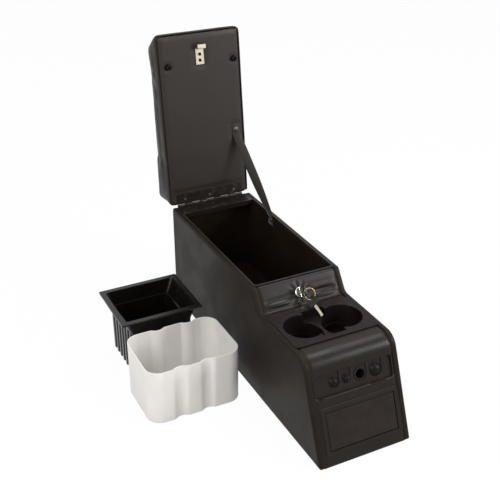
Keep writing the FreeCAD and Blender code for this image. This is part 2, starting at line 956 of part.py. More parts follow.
def key_blade(reach):
    """Blade along -Z from the origin, with cuts along one edge and a groove in one face."""
    half = key_thickness / 2.0
    width = key_width / 2.0
    blade = box(-half, half, -width, width, -reach, key_head_start + key_tang)
    pitch = (reach - key_notch_margin - key_tang) / key_notch_count
    for i in range(key_notch_count):
        place = -reach + key_notch_margin + i * pitch
        depth = key_notch_depth + key_notch_step * (i % 2)
        points = [
            Vector(-half, -width, place), Vector(-half, -width, place + pitch * key_notch_share),
            Vector(-half, -width + depth, place + pitch * key_notch_share / 2.0),
        ]
        notch = Part.Face(rounded_wire(points, [0] * 3)).extrude(Vector(key_thickness, 0, 0))
        blade = blade.cut(notch)
    groove_half = key_groove_width / 2.0
    groove = box(half - key_groove_depth, half, -groove_half, groove_half, -reach, 0)
    return blade.cut(groove)


def key_head():
    """Square plastic head with rounded corners and a hole for the ring."""
    half = key_head_thickness / 2.0
    start = key_head_start
    end = start + key_head_length
    width = key_head_width / 2.0
    points = [
        Vector(-half, -width, start), Vector(-half, width, start), Vector(-half, width, end),
        Vector(-half, -width, end),
    ]
    outline = rounded_wire(points, [key_corner] * 4)
    head = Part.Face(outline).extrude(Vector(key_head_thickness, 0, 0))
    hole_z = start + key_hole_place
    hole = cylinder(key_hole_radius, Vector(-half, 0, hole_z), Vector(half, 0, hole_z))
    tang = box(
        -key_thickness / 2.0, key_thickness / 2.0, -key_width / 2.0, key_width / 2.0,
        start, start + key_tang,
    )
    return head.cut(hole).cut(tang)


def key_hole_point():
    """Middle of the hole in the head of the key that is in the lock."""
    return lock_frame.multVec(Vector(0, 0, key_head_start + key_hole_place))


def ring_down():
    """Direction in which the ring leans down from the key."""
    lean = math.radians(ring_lean)
    return Vector(0, -math.sin(lean), -math.cos(lean))


def ring_centre():
    """Middle of the ring, hanging to one side of the key's hole."""
    turn = math.radians(ring_turn)
    aside = Vector(ring_radius * math.sin(turn), 0, 0)
    return key_hole_point() + aside + ring_down() * (ring_radius * math.cos(turn))


def key_ring():
    """Ring of flattened wire through both key heads."""
    normal = ring_down().cross(Vector(1, 0, 0))
    start = ring_centre() - normal * ring_wire_radius
    end = ring_centre() + normal * ring_wire_radius
    outer = cylinder(ring_radius + ring_wire_radius, start, end)
    inner = cylinder(ring_radius - ring_wire_radius, start, end)
    return outer.makeChamfer(ring_wire_radius * edge_share, circular_edges(outer)).cut(inner)


def spare_hole_point():
    """Place on the ring where the spare key hangs."""
    return ring_centre() + ring_down() * ring_radius


def spare_place():
    """Frame of the spare key: its blade points forward and down over the cups."""
    lean = math.radians(spare_lean)
    along = Vector(0, -math.cos(lean), -math.sin(lean))
    face = Vector(0, -math.sin(lean), math.cos(lean))
    roll = math.radians(spare_roll)
    normal = Vector(-math.cos(roll), 0, 0) + face * math.sin(roll)
    back = along * -1.0
    across = back.cross(normal)
    frame = Matrix()
    frame.A11, frame.A21, frame.A31 = normal.x, normal.y, normal.z
    frame.A12, frame.A22, frame.A32 = across.x, across.y, across.z
    frame.A13, frame.A23, frame.A33 = back.x, back.y, back.z
    hole = spare_hole_point()
    frame.A14, frame.A24, frame.A34 = hole.x, hole.y, hole.z
    to_hole = Placement(Vector(0, 0, -key_head_start - key_hole_place), Rotation())
    return Placement(frame).multiply(to_hole)


def spare_blade_reach():
    """Length of the spare key's blade below its head."""
    return spare_reach - key_head_start - key_hole_place


# Piano hinge
def knuckle_run(index):
    """Start and end, in X, of one knuckle."""
    pitch = hinge_width / knuckle_count
    start = lid_shift - hinge_width / 2.0 + index * pitch
    return start + knuckle_gap / 2.0, start + pitch - knuckle_gap / 2.0


def hinge_leaf(first, low, high, depth):
    """Flat leaf ahead of the pin, with every second knuckle from the first."""
    near = knuckle_radius + leaf_play
    half = hinge_width / 2.0
    leaf = box(lid_shift - half, lid_shift + half, pin_y - depth, pin_y - near, low, high)
    bore = cylinder(
        pin_radius + pin_clearance, Vector(-half_width, pin_y, pin_z), Vector(half_width, pin_y, pin_z)
    )
    for i in range(first, knuckle_count, 2):
        x0, x1 = knuckle_run(i)
        leaf = leaf.fuse(box(x0, x1, pin_y - near, pin_y, low, high))
        leaf = leaf.fuse(cylinder(knuckle_radius, Vector(x0, pin_y, pin_z), Vector(x1, pin_y, pin_z)))
    leaf = leaf.cut(bore)
    y = pin_y - depth / 2.0
    for x in hinge_screw_places():
        seat = cone(
            hinge_screw_radius + screw_play, hinge_screw_head_radius + screw_play,
            Vector(x, y, low), Vector(x, y, high),
        )
        if high > pin_z:
            seat = cone(
                hinge_screw_head_radius + screw_play, hinge_screw_radius + screw_play,
                Vector(x, y, low), Vector(x, y, high),
            )
        leaf = leaf.cut(seat)
    return leaf.removeSplitter()


def body_leaf():
    """Hinge leaf on the rail."""
    return hinge_leaf(0, rim_height, rim_height + leaf_thickness, body_leaf_depth)


def lid_inner_level():
    """Underside of the lid while it is shut."""
    return pin_z + lid_gap


def lid_leaf():
    """Hinge leaf under the lid."""
    level = lid_inner_level()
    return hinge_leaf(1, level - leaf_thickness, level, lid_leaf_depth)


def hinge_pin():
    """Pin through all the knuckles."""
    end = hinge_width / 2.0 + hinge_pin_overhang
    start = Vector(lid_shift - end, pin_y, pin_z)
    return cylinder(pin_radius, start, Vector(lid_shift + end, pin_y, pin_z))


def sunk_screw(x, y, seat, outward):
    """Countersunk screw whose head is flush; outward is +1 for a head that faces up."""
    foot = Vector(x, y, seat)
    top = foot + Vector(0, 0, outward * leaf_thickness)
    head = cone(hinge_screw_radius, hinge_screw_head_radius, foot, top)
    shank = cylinder(hinge_screw_radius, Vector(x, y, seat - outward * hinge_screw_length), foot)
    slot_floor = top.z - outward * hinge_screw_slot_depth
    slot_half = hinge_screw_slot_width / 2.0
    slot = box(
        x - hinge_screw_head_radius, x + hinge_screw_head_radius, y - slot_half, y + slot_half,
        min(top.z, slot_floor), max(top.z, slot_floor),
    )
    return head.fuse(shank).cut(slot)


def hinge_screws_body():
    """Three screws that hold the lower leaf."""
    y = rear_y - body_leaf_depth / 2.0
    return group([sunk_screw(x, y, rim_height, 1) for x in hinge_screw_places()])


def hinge_screws_lid():
    """Three screws that hold the upper leaf."""
    y = rear_y - lid_leaf_depth / 2.0
    return group([sunk_screw(x, y, lid_inner_level(), -1) for x in hinge_screw_places()])


# Lid, modelled shut and then opened
def lid_y(along):
    """Place along the body of a distance along the shut lid."""
    return pin_y - along


def lid_board_box():
    """Half width and the two ends of the lid's board."""
    half = lid_width / 2.0 - lid_board_margin
    rear = lid_y(knuckle_radius + leaf_play + lid_board_rear_play)
    return half, lid_y(lid_length - lid_board_margin), rear


def lid_screw_holes():
    """Pilot holes in the lid board for all that is screwed to it."""
    level = lid_inner_level()
    holes = []
    for x in hinge_screw_places():
        foot = Vector(x, rear_y - lid_leaf_depth / 2.0, level)
        holes.append(
            cylinder(hinge_screw_radius + screw_play, foot, foot + Vector(0, 0, hinge_screw_length))
        )
    for x, y in catch_screw_places():
        foot = Vector(x, y, level)
        end = foot + Vector(0, 0, catch_screw_bite)
        holes.append(cylinder(catch_screw_radius + screw_play, foot, end))
    foot = Vector(strap_offset, lid_y(strap_place), level)
    holes.append(
        cylinder(hinge_screw_radius + screw_play, foot, foot + Vector(0, 0, hinge_screw_length))
    )
    return holes


def lid_board():
    """Stiff board inside the lid, which its fittings are screwed to."""
    half, front, rear = lid_board_box()
    level = lid_inner_level()
    board = rounded_block(
        lid_shift - half, lid_shift + half, front, rear, level, level + lid_board_thickness,
        lid_board_corner,
    )
    for hole in lid_screw_holes():
        board = board.cut(hole)
    return board


def lid_pad(outline, rear, round_corners, end_radius):
    """Padded block with a side outline, a rolled nose or heel, and rolled long edges."""
    half = lid_width / 2.0
    pad = prism_x(outline, [0] * len(outline), lid_shift - half, lid_shift + half)
    across = []
    for edge in pad.Edges:
        limits = edge.BoundBox
        corner = Vector(0, limits.YMin, limits.ZMin)
        if limits.XLength > half and any(corner.sub(c).Length < edge_tolerance for c in round_corners):
            across.append(edge)
    pad = pad.makeFillet(end_radius, across)
    along = []
    for edge in pad.Edges:
        limits = edge.BoundBox
        in_side = limits.XLength < edge_tolerance and limits.ZMax > lid_inner_level() + lid_board_thickness
        at_seam = max(abs(limits.YMin - rear), limits.YLength) < edge_tolerance
        if in_side and not at_seam:
            along.append(edge)
    return pad.makeFillet(lid_side_radius, along)


def lid_cushion():
    """Padded shell round the board: a long front pad, and a higher rear one behind a seam."""
    level = lid_inner_level()
    seam = lid_y(lid_seam_place)
    nose = lid_y(lid_length)
    crown = (nose + lid_nose_run, level + lid_nose_height)
    lip = (nose, level + lid_nose_height - lid_nose_drop)
    front_pad = lid_pad(
        [(seam, level), (seam, level + lid_seam_height), crown, lip, (nose, level)],
        seam, [Vector(0, crown[0], crown[1]), Vector(0, lip[0], lip[1])], lid_edge_radius,
    )
    heel = (pin_y, level + lid_rear_height)
    ridge = (seam, level + lid_seam_height + lid_step)
    rear_pad = lid_pad(
        [(pin_y, level), heel, ridge, (seam, level)], seam - total_length,
        [Vector(0, heel[0], heel[1])], lid_heel_radius,
    )
    pad = front_pad.fuse(rear_pad).removeSplitter()
    half, front, rear = lid_board_box()
    pocket = rounded_block(
        lid_shift - half - pad_clearance, lid_shift + half + pad_clearance,
        front - pad_clearance, rear + pad_clearance, level,
        level + lid_board_thickness + pad_clearance, lid_board_corner + pad_clearance,
    )
    return pad.cut(pocket).cut(hinge_barrel(leaf_play))


def catch_screw_places():
    """Places of the two screws of the catch."""
    step = (catch_end - catch_start) / 4.0
    near = lid_y(catch_start + step)
    far = lid_y(catch_start + step * catch_screw_pitch)
    return [(lid_shift, near), (lid_shift, far)]


def latch_catch():
    """Screwed plate, bent down and then forward to a tongue that the cam passes over."""
    level = lid_inner_level()
    half = catch_width / 2.0
    thick = catch_thickness
    end = lid_y(catch_end)
    low = level - catch_drop
    outline = [
        (lid_y(catch_start), level), (end, level), (end, low + thick),
        (end - catch_tongue + thick, low + thick), (end - catch_tongue + thick, low),
        (end + thick, low), (end + thick, level - thick), (lid_y(catch_start), level - thick),
    ]
    bend = catch_bend_radius
    inner_bend = catch_inner_bend
    radii = [0, bend, inner_bend, 0, 0, bend, inner_bend, 0]
    catch = prism_x(outline, radii, lid_shift - half, lid_shift + half)
    for x, y in catch_screw_places():
        catch = catch.cut(
            cylinder(catch_screw_radius + screw_play, Vector(x, y, level - thick), Vector(x, y, level))
        )
    return catch


def latch_screws():
    """Two round-headed screws through the catch into the lid board."""
    level = lid_inner_level()
    screws = []
    for x, y in catch_screw_places():
        seat = Vector(x, y, level - catch_thickness)
        low = seat - Vector(0, 0, catch_screw_head_depth)
        head = cylinder(catch_screw_head_radius, low, seat)
        head = head.makeChamfer(catch_screw_head_depth * edge_share, edges_at_foot(head, low.z))
        shank = cylinder(catch_screw_radius, seat, seat + Vector(0, 0, catch_screw_bite))
        screws.append(head.fuse(shank))
    return group(screws)


def lid_bumpers():
    """Two rubber feet that keep the shut lid from rattling."""
    level = lid_inner_level()
    feet = []
    for x in bumper_places:
        seat = Vector(x, lid_y(bumper_place), level)
        foot = cone(bumper_radius, bumper_radius * bumper_taper, seat, seat - Vector(0, 0, bumper_height))
        foot = foot.makeChamfer(bumper_edge, edges_at_foot(foot, level - bumper_height))
        cup = cylinder(
            bumper_radius * bumper_cup_share, seat - Vector(0, 0, bumper_height / 2.0),
            seat - Vector(0, 0, bumper_height),
        )
        feet.append(foot.cut(cup))
    return group(feet)


def round_head_screw(seat, outward, shank_length):
    """Round-headed screw through the strap; outward points away from what holds it."""
    head_radius = strap_screw_radius
    rise = strap_screw_rise
    sphere_radius = (head_radius * head_radius + rise * rise) / (2.0 * rise)
    centre = seat + outward * (rise - sphere_radius)
    head = Part.makeSphere(sphere_radius, centre).common(
        cylinder(head_radius, seat, seat + outward * (rise * 2))
    )
    shank = cylinder(hinge_screw_radius, seat - outward * shank_length, seat)
    return head.fuse(shank)


def lid_strap_screw():
    """Screw that holds the strap to the lid."""
    seat = Vector(strap_offset, lid_y(strap_place), lid_inner_level() - strap_thickness)
    return round_head_screw(seat, Vector(0, 0, -1), strap_thickness + hinge_screw_length)


def wall_strap_screw():
    """Screw that holds the strap to the side panel."""
    seat = Vector(inner_half - strap_thickness, rear_y - strap_anchor_y, rim_height - strap_anchor_drop)
    return round_head_screw(seat, Vector(-1, 0, 0), strap_thickness + hinge_screw_length)


def strap_ends():
    """Centre, width direction and face direction of the strap at its lid and wall ends."""
    swing = lid_swing.Rotation
    middle_level = lid_inner_level() - strap_thickness / 2.0
    lid_along = swing.multVec(Vector(0, 1, 0))
    lid_face = swing.multVec(Vector(0, 0, -1))
    lid_point = lid_swing.multVec(Vector(strap_offset, lid_y(strap_place), middle_level))
    wall_point = Vector(
        inner_half - strap_thickness / 2.0, rear_y - strap_anchor_y, rim_height - strap_anchor_drop
    )
    return lid_point, lid_along, lid_face, wall_point


def strap_section(centre, width_way, face_way):
    """Thin rectangle across the strap."""
    across = width_way * (strap_width / 2.0)
    out = face_way * (strap_thickness / 2.0)
    points = [centre - across - out, centre + across - out, centre + across + out, centre - across + out]
    return Part.Wire(Part.makePolygon(points + [points[0]]).Edges)


def lid_strap():
    """Webbing strap, taut from the lid to the right wall, with a quarter twist between."""
    lid_point, lid_along, lid_face, wall_point = strap_ends()
    hole_length = strap_thickness * 2
    sections = [
        strap_section(lid_point - lid_along * strap_tab, Vector(1, 0, 0), lid_face),
        strap_section(lid_point + lid_along * strap_tab, Vector(1, 0, 0), lid_face),
    ]
    upper = lid_point + lid_along * strap_tab
    lower = wall_point + Vector(0, 0, strap_tab)
    for i in range(1, strap_sections):
        share = i / strap_sections
        turn = math.radians(-90.0 * share)
        run = lower - upper
        run.normalize()
        width_way = Vector(math.cos(turn), math.sin(turn), 0)
        width_way = width_way - run * width_way.dot(run)
        width_way.normalize()
        face_way = run.cross(width_way)
        if face_way.dot(lid_face + Vector(-1, 0, 0)) < 0:
            face_way = face_way * -1.0
        sections.append(strap_section(upper + (lower - upper) * share, width_way, face_way))
    sections.append(strap_section(lower, Vector(0, -1, 0), Vector(-1, 0, 0)))
    sections.append(
        strap_section(wall_point - Vector(0, 0, strap_tab), Vector(0, -1, 0), Vector(-1, 0, 0))
    )
    strap = Part.makeLoft(sections, True, True)
    reach = lid_face * hole_length
    strap = strap.cut(
        cylinder(hinge_screw_radius + screw_play, lid_point - reach, lid_point + reach)
    )
    side = Vector(hole_length, 0, 0)
    return strap.cut(cylinder(hinge_screw_radius + screw_play, wall_point - side, wall_point + side))


# Loose bins
def tapered_box(width, length, low_width, low_length, low, high, radius):
    """Solid between a rounded rectangle below and a larger one above."""
    wires = []
    for half_x, half_y, z in ((low_width / 2, low_length / 2, low), (width / 2, length / 2, high)):
        points = [
            Vector(-half_x, -half_y, z), Vector(half_x, -half_y, z), Vector(half_x, half_y, z),
            Vector(-half_x, half_y, z),
        ]
        wires.append(rounded_wire(points, [radius] * 4))
    return Part.makeLoft(wires, True, True)


def bin_levels():
    """Half sizes in X and Y of the bin: at the flange, collar foot, step and floor."""
    top = (bin_width / 2.0 - bin_flange, bin_length / 2.0 - bin_flange)
    collar = (top[0] - collar_run_x, top[1] - collar_run_y)
    step = (collar[0] - bin_step_x, collar[1] - bin_step_y)
    floor = (step[0] - bin_taper / 2.0, step[1] - bin_taper / 2.0)
    return top, collar, step, floor


def bin_shell(inset, low, high):
    """Solid with the bin's form, moved inward by an inset, between a floor and a top."""
    top, collar, step, floor = bin_levels()
    step_z = bin_height - collar_depth + inset
    corner = bin_corner - inset
    upper = tapered_box(
        2 * (top[0] - inset), 2 * (top[1] - inset), 2 * (collar[0] - inset),
        2 * (collar[1] - inset), step_z, high, corner,
    )
    lower = tapered_box(
        2 * (step[0] - inset), 2 * (step[1] - inset), 2 * (floor[0] - inset),
        2 * (floor[1] - inset), low, step_z, corner,
    )
    return upper.fuse(lower)


def storage_bin():
    """Moulded bin: flange with a turned-down lip, a tapering collar, a step and ribbed ends."""
    half_x = bin_width / 2.0
    half_y = bin_length / 2.0
    flange = rounded_block(
        -half_x, half_x, -half_y, half_y, bin_height - bin_lip, bin_height, bin_flange_corner
    )
    under = rounded_block(
        -half_x + bin_wall, half_x - bin_wall, -half_y + bin_wall, half_y - bin_wall,
        bin_height - bin_lip, bin_height - bin_flange_thickness, bin_flange_corner / 2.0,
    )
    body = flange.cut(under).fuse(bin_shell(0.0, 0.0, bin_height))
    step = bin_levels()[2]
    floor = bin_levels()[3]
    rib_top = bin_height - collar_depth + bin_step_x
    for sign in (-1, 1):
        for i in range(bin_rib_count):
            y = (i - (bin_rib_count - 1) / 2.0) * bin_rib_pitch
            rib = rounded_block(
                -bin_rib_depth, bin_rib_depth, y - bin_rib_width / 2.0, y + bin_rib_width / 2.0,
                0, rib_top, bin_rib_depth / 2.0,
            )
            rib.translate(Vector(sign * (step[0] + bin_taper / 2.0), 0, 0))
            keep = box(-half_x, half_x, -floor[1], floor[1], 0, rib_top)
            body = body.fuse(rib.common(keep))
    body = body.cut(bin_shell(bin_wall, bin_wall, bin_height + end_margin)).removeSplitter()
    body.translate(Vector(bin_x, bin_y, 0))
    return body


def fluted_prism(inset, low, high):
    """Upright solid with the liner's outline, moved inward by an inset."""
    half_x = liner_width / 2.0 - inset
    half_y = liner_length / 2.0 - inset
    solid = rounded_block(-half_x, half_x, -half_y, half_y, low, high, liner_corner - inset)
    radius = liner_flute_radius + inset
    for sign, places in ((-1, liner_front_flutes), (1, liner_rear_flutes)):
        centre_y = sign * (liner_length / 2.0 + liner_flute_radius - liner_flute_depth)
        for x in places:
            flute = cylinder(radius, Vector(x, centre_y, low), Vector(x, centre_y, high))
            solid = solid.cut(flute)
    places = liner_front_flutes + liner_rear_flutes
    furthest = max(abs(place) for place in places) + liner_flute_radius
    upright = [
        e for e in solid.Edges
        if e.BoundBox.ZLength > high - low - edge_tolerance
        and abs(abs(e.BoundBox.YMin) - half_y) < edge_tolerance
        and abs(e.BoundBox.XMin) < furthest
    ]
    return solid.makeFillet(liner_flute_blend - inset, upright)


def bin_liner():
    """Thin-walled pale liner whose flutes divide it into three bays."""
    outer = fluted_prism(0.0, 0.0, liner_height)
    inner = fluted_prism(liner_wall, liner_wall, liner_height + end_margin)
    body = outer.cut(inner)
    body.translate(Vector(liner_x, liner_y, 0))
    return body


# Write every sub-part
def main():
    """Write all the files."""
    os.makedirs("parts", exist_ok=True)
    save("side_panel_left", side_panel(-1))
    save("side_panel_right", side_panel(1))
    save("rear_panel", rear_panel())
    save("rear_rail", rear_rail())
    save("bulkhead", bulkhead())
    save("well_floor", well_floor())
    save("base_battens", base_battens())
    save("front_cover", front_cover())
    save("rim_trim", rim_trim())
    save("cup_insert", cup_insert())
    save("socket_panel", socket_panel())
    save("outlet_socket", put(socket_shell(0, outlet_depth, outlet_bore), fascia_frame_place))
    save("outlet_cap", domed_plug(0, outlet_bore, cap_stem, cap_rise, 0.0))
    save("button_housing", put(socket_shell(1, button_depth, button_bore), fascia_frame_place))
    save("push_button", domed_plug(1, button_bore, button_stem, button_rise, button_travel))
    save("power_socket", power_socket())
    save("power_contact", centre_contact())
    save("lighter_socket", put(socket_shell(3, socket_depth, socket_bore), fascia_frame_place))
    save("lighter_knob", domed_plug(3, socket_bore, lighter_stem, lighter_rise, 0.0))
    save("fascia_frame", fascia_frame())
    save("blanking_plate", blanking_plate())
    save("lock_housing", lock_housing())
    save("lock_nut", lock_nut())
    save("lock_plug", lock_plug())
    save("lock_cam", lock_cam())
    save("cam_screw", cam_screw())
    save("lock_key_blade", put(key_blade(key_reach), lock_frame))
    save("lock_key_head", put(key_head(), lock_frame))
    save("key_ring", key_ring())
    save("spare_key_blade", put(key_blade(spare_blade_reach()), spare_place()))
    save("spare_key_head", put(key_head(), spare_place()))
    save("hinge_leaf_body", body_leaf())
    save("hinge_pin", hinge_pin())
    save("hinge_screws_body", hinge_screws_body())
    save("hinge_leaf_lid", opened(lid_leaf()))
    save("hinge_screws_lid", opened(hinge_screws_lid()))
    save("lid_board", opened(lid_board()))
    save("lid_cushion", opened(lid_cushion()))
    save("latch_catch", opened(latch_catch()))
    save("latch_screws", opened(latch_screws()))
    save("lid_bumpers", opened(lid_bumpers()))
    save("strap_screw_lid", opened(lid_strap_screw()))
    save("strap_screw_wall", wall_strap_screw())
    save("lid_strap", lid_strap())
    save("storage_bin", storage_bin())
    save("bin_liner", bin_liner())


main()
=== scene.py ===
import logging
import math
from dataclasses import dataclass
from enum import Enum

import bmesh
import bpy
import numpy as np
from bpy.types import Material, Mesh, Node, NodeSocket, NodeTree, Object
from mathutils import Matrix, Vector, noise


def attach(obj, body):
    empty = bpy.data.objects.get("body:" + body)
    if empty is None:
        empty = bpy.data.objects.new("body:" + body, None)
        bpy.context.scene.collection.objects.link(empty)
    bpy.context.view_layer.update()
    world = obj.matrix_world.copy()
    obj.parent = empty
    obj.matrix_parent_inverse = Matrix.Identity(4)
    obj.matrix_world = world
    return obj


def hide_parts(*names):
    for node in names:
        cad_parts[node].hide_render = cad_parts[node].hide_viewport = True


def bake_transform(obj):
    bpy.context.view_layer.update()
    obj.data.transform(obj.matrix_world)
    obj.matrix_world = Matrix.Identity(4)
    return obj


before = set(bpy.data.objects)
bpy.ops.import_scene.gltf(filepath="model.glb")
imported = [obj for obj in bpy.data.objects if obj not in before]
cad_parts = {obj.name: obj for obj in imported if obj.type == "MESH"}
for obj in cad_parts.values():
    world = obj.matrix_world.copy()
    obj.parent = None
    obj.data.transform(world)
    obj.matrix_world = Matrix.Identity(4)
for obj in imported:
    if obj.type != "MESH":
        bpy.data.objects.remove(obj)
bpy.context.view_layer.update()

# Looks of a padded floor console: vinyl skins with their folds, a stuffed armrest lid,
# a woven lid strap, and finishes for every moulded, turned and pressed piece.

Colour = tuple[int, int, int]
Pair = tuple[float, float]
Triple = tuple[float, float, float]

LOG = logging.getLogger("console_scene")
MM = 0.001
PIN_Y = 375.5
PIN_Z = 262.5
LID_ANGLE = math.radians(96.7)
LID_SHIFT = -3.5
LID_LEVEL = 264.0
DUST_COLOUR = (150, 146, 138)
WHITE = (1.0, 1.0, 1.0, 1.0)


class Effect(Enum):
    """Node groups that more than one finish uses. EffectShop has a method for each."""

    GRAIN = "pressed_grain"
    DUST = "settled_dust"
    WEAR = "rubbed_edges"
    BRUSH = "drawn_lines"


class Side(Enum):
    """The two long sides of the body."""

    LEFT = -1
    RIGHT = 1


def linear(colour: Colour) -> tuple[float, float, float, float]:
    """Turn a display colour into the shader's own scale.

    Args:
        colour: Red, green and blue from 0 to 255.

    Returns:
        Linear red, green, blue and full alpha.
    """
    parts = []
    for value in colour:
        share = value / 255.0
        parts.append(share / 12.92 if share <= 0.04045 else ((share + 0.055) / 1.055) ** 2.4)
    return parts[0], parts[1], parts[2], 1.0


class Wiring:
    """A node tree with short calls for adding and joining its nodes."""

    def __init__(self, tree: NodeTree) -> None:
        """Keep the tree.

        Args:
            tree: The node tree to add to.
        """
        self.tree = tree

    def add(self, kind: str, feeds: dict | None = None, **settings: object) -> Node:
        """Add a node.

        Args:
            kind: The node's type name, without its prefix.
            feeds: The socket, number or colour that goes into each of its inputs.
            **settings: Properties to set on it first.

        Returns:
            The new node.
        """
        node = self.tree.nodes.new(f"ShaderNode{kind}")
        for key, value in settings.items():
            setattr(node, key, value)
        for key, value in (feeds or {}).items():
            self.feed(node.inputs[key], value)
        return node

    def join(self, source: NodeSocket, target: NodeSocket) -> None:
        """Link one socket to another."""
        self.tree.links.new(source, target)

    def feed(self, target: NodeSocket, value: object) -> None:
        """Link a socket, or set a plain value, on a target.

        Args:
            target: The socket that takes it.
            value: Another socket, a number or a colour.
        """
        if isinstance(value, NodeSocket):
            self.join(value, target)
        else:
            target.default_value = value

    def calc(self, kind: str, first: object, second: object, clamp: bool = False) -> NodeSocket:
        """Work out one Math node.

        Args:
            kind: Its operation.
            first: The first socket or number.
            second: The second socket or number.
            clamp: Keep the result between 0 and 1.

        Returns:
            The node's value.
        """
        return self.add("Math", {0: first, 1: second}, operation=kind, use_clamp=clamp).outputs[0]

    def span(
        self, value: object, low: float, high: float, to_low: float = 0.0, to_high: float = 1.0
    ) -> NodeSocket:
        """Spread a value from one range over another, held at its ends.

        Args:
            value: The socket to spread.
            low: Its low end.
            high: Its high end.
            to_low: What the low end becomes.
            to_high: What the high end becomes.

        Returns:
            The spread value.
        """
        feeds = {"Value": value, "From Min": low, "From Max": high, "To Min": to_low, "To Max": to_high}
        return self.add("MapRange", feeds, interpolation_type="SMOOTHSTEP").outputs["Result"]

    def blend(self, share: object, first: object, second: object) -> NodeSocket:
        """Mix two colours.

        Args:
            share: How much of the second, as a socket or number.
            first: The first colour.
            second: The second colour.

        Returns:
            The mixed colour.
        """
        return self.add("Mix", {0: share, 6: first, 7: second}, data_type="RGBA").outputs[2]

    def noise(self, place: NodeSocket, scale: object, detail: float = 3.0) -> NodeSocket:
        """Noise texture value.

        Args:
            place: The coordinates.
            scale: Cells to the metre.
            detail: Octaves.

        Returns:
            The noise factor.
        """
        return self.add("TexNoise", {"Vector": place, "Scale": scale, "Detail": detail}).outputs["Fac"]


class EffectShop:
    """Builds each shared node group once and places it in materials."""

    BEND = 0.6 * MM
    DUST_SPECKS = 90.0
    WEAR_PATCHES = 45.0

    def __init__(self) -> None:
        """Start with no groups made."""
        self.made: dict[Effect, NodeTree] = {}

    def start(self, effect: Effect, inputs: dict[str, float], outputs: list[str]) -> tuple:
        """Open a new group with named sockets.

        Args:
            effect: Which effect it is.
            inputs: Names and defaults of its number inputs, after its Vector.
            outputs: Names of its number outputs.

        Returns:
            The group, its wiring, its input node and its output node.
        """
        tree = bpy.data.node_groups.new(effect.value, "ShaderNodeTree")
        tree.interface.new_socket("Vector", in_out="INPUT", socket_type="NodeSocketVector")
        for name, value in inputs.items():
            socket = tree.interface.new_socket(name, in_out="INPUT", socket_type="NodeSocketFloat")
            socket.default_value = value
        for name in outputs:
            tree.interface.new_socket(name, in_out="OUTPUT", socket_type="NodeSocketFloat")
        return tree, Wiring(tree), tree.nodes.new("NodeGroupInput"), tree.nodes.new("NodeGroupOutput")

    def grain(self) -> NodeTree:
        """Pressed leather grain: small uneven cells, and a broad cloudiness."""
        tree, wiring, given, made = self.start(
            Effect.GRAIN, {"Scale": 700.0, "Cloud Scale": 12.0}, ["Height", "Cloud"]
        )
        place = given.outputs["Vector"]
        scale = given.outputs["Scale"]
        bent = wiring.add("TexNoise", {"Vector": place, "Scale": wiring.calc("MULTIPLY", scale, 0.6)})
        shift = wiring.add("VectorMath", {0: bent.outputs["Color"], "Scale": self.BEND}, operation="SCALE")
        moved = wiring.add("VectorMath", {0: place, 1: shift.outputs[0]}, operation="ADD")
        cells = wiring.add("TexVoronoi", {"Vector": moved.outputs[0], "Scale": scale}, feature="SMOOTH_F1")
        domes = wiring.span(cells.outputs["Distance"], 0.1, 0.7, 1.0, 0.0)
        fine = wiring.noise(place, wiring.calc("MULTIPLY", scale, 3.1), 2.0)
        wiring.join(wiring.calc("ADD", domes, wiring.calc("MULTIPLY", fine, 0.3)), made.inputs["Height"])
        cloud = wiring.noise(place, given.outputs["Cloud Scale"], 4.0)
        wiring.join(wiring.span(cloud, 0.3, 0.7), made.inputs["Cloud"])
        return tree

    def dust(self) -> NodeTree:
        """Thin dust on what faces up."""
        tree, wiring, given, made = self.start(Effect.DUST, {"Amount": 0.3}, ["Mask"])
        apart = wiring.add("SeparateXYZ", {0: wiring.add("NewGeometry").outputs["Normal"]})
        up = wiring.span(apart.outputs["Z"], 0.2, 1.0)
        specks = wiring.span(wiring.noise(given.outputs["Vector"], self.DUST_SPECKS, 6.0), 0.45, 0.75)
        made_up = wiring.calc("MULTIPLY", up, specks)
        wiring.join(wiring.calc("MULTIPLY", made_up, given.outputs["Amount"], True), made.inputs["Mask"])
        return tree

    def wear(self) -> NodeTree:
        """Rubbed high spots, unevenly."""
        tree, wiring, given, made = self.start(Effect.WEAR, {"Amount": 0.5}, ["Mask"])
        ridge = wiring.span(wiring.add("NewGeometry").outputs["Pointiness"], 0.505, 0.56)
        patches = wiring.span(wiring.noise(given.outputs["Vector"], self.WEAR_PATCHES, 4.0), 0.35, 0.65, 0.3)
        rubbed = wiring.calc("MULTIPLY", ridge, patches)
        wiring.join(wiring.calc("MULTIPLY", rubbed, given.outputs["Amount"], True), made.inputs["Mask"])
        return tree

    def brush(self) -> NodeTree:
        """Fine lines drawn along X, as rolled or drawn metal has."""
        tree, wiring, given, made = self.start(Effect.BRUSH, {"Scale": 900.0}, ["Height"])
        stretched = wiring.add("Mapping", {"Vector": given.outputs["Vector"], "Scale": (0.06, 1.0, 1.0)})
        lines = wiring.noise(stretched.outputs["Vector"], given.outputs["Scale"], 3.0)
        wiring.join(lines, made.inputs["Height"])
        return tree

    def place(self, wiring: Wiring, effect: Effect, where: NodeSocket, **values: float) -> Node:
        """Put a group in a material with its own values.

        Args:
            wiring: The material's wiring.
            effect: Which effect.
            where: The coordinates that it reads.
            **values: Its number inputs, with underscores for spaces.

        Returns:
            The group node.
        """
        if effect not in self.made:
            self.made[effect] = getattr(self, effect.name.lower())()
        feeds = {name.replace("_", " "): value for name, value in values.items()}
        return wiring.add("Group", {"Vector": where, **feeds}, node_tree=self.made[effect])


SHOP = EffectShop()


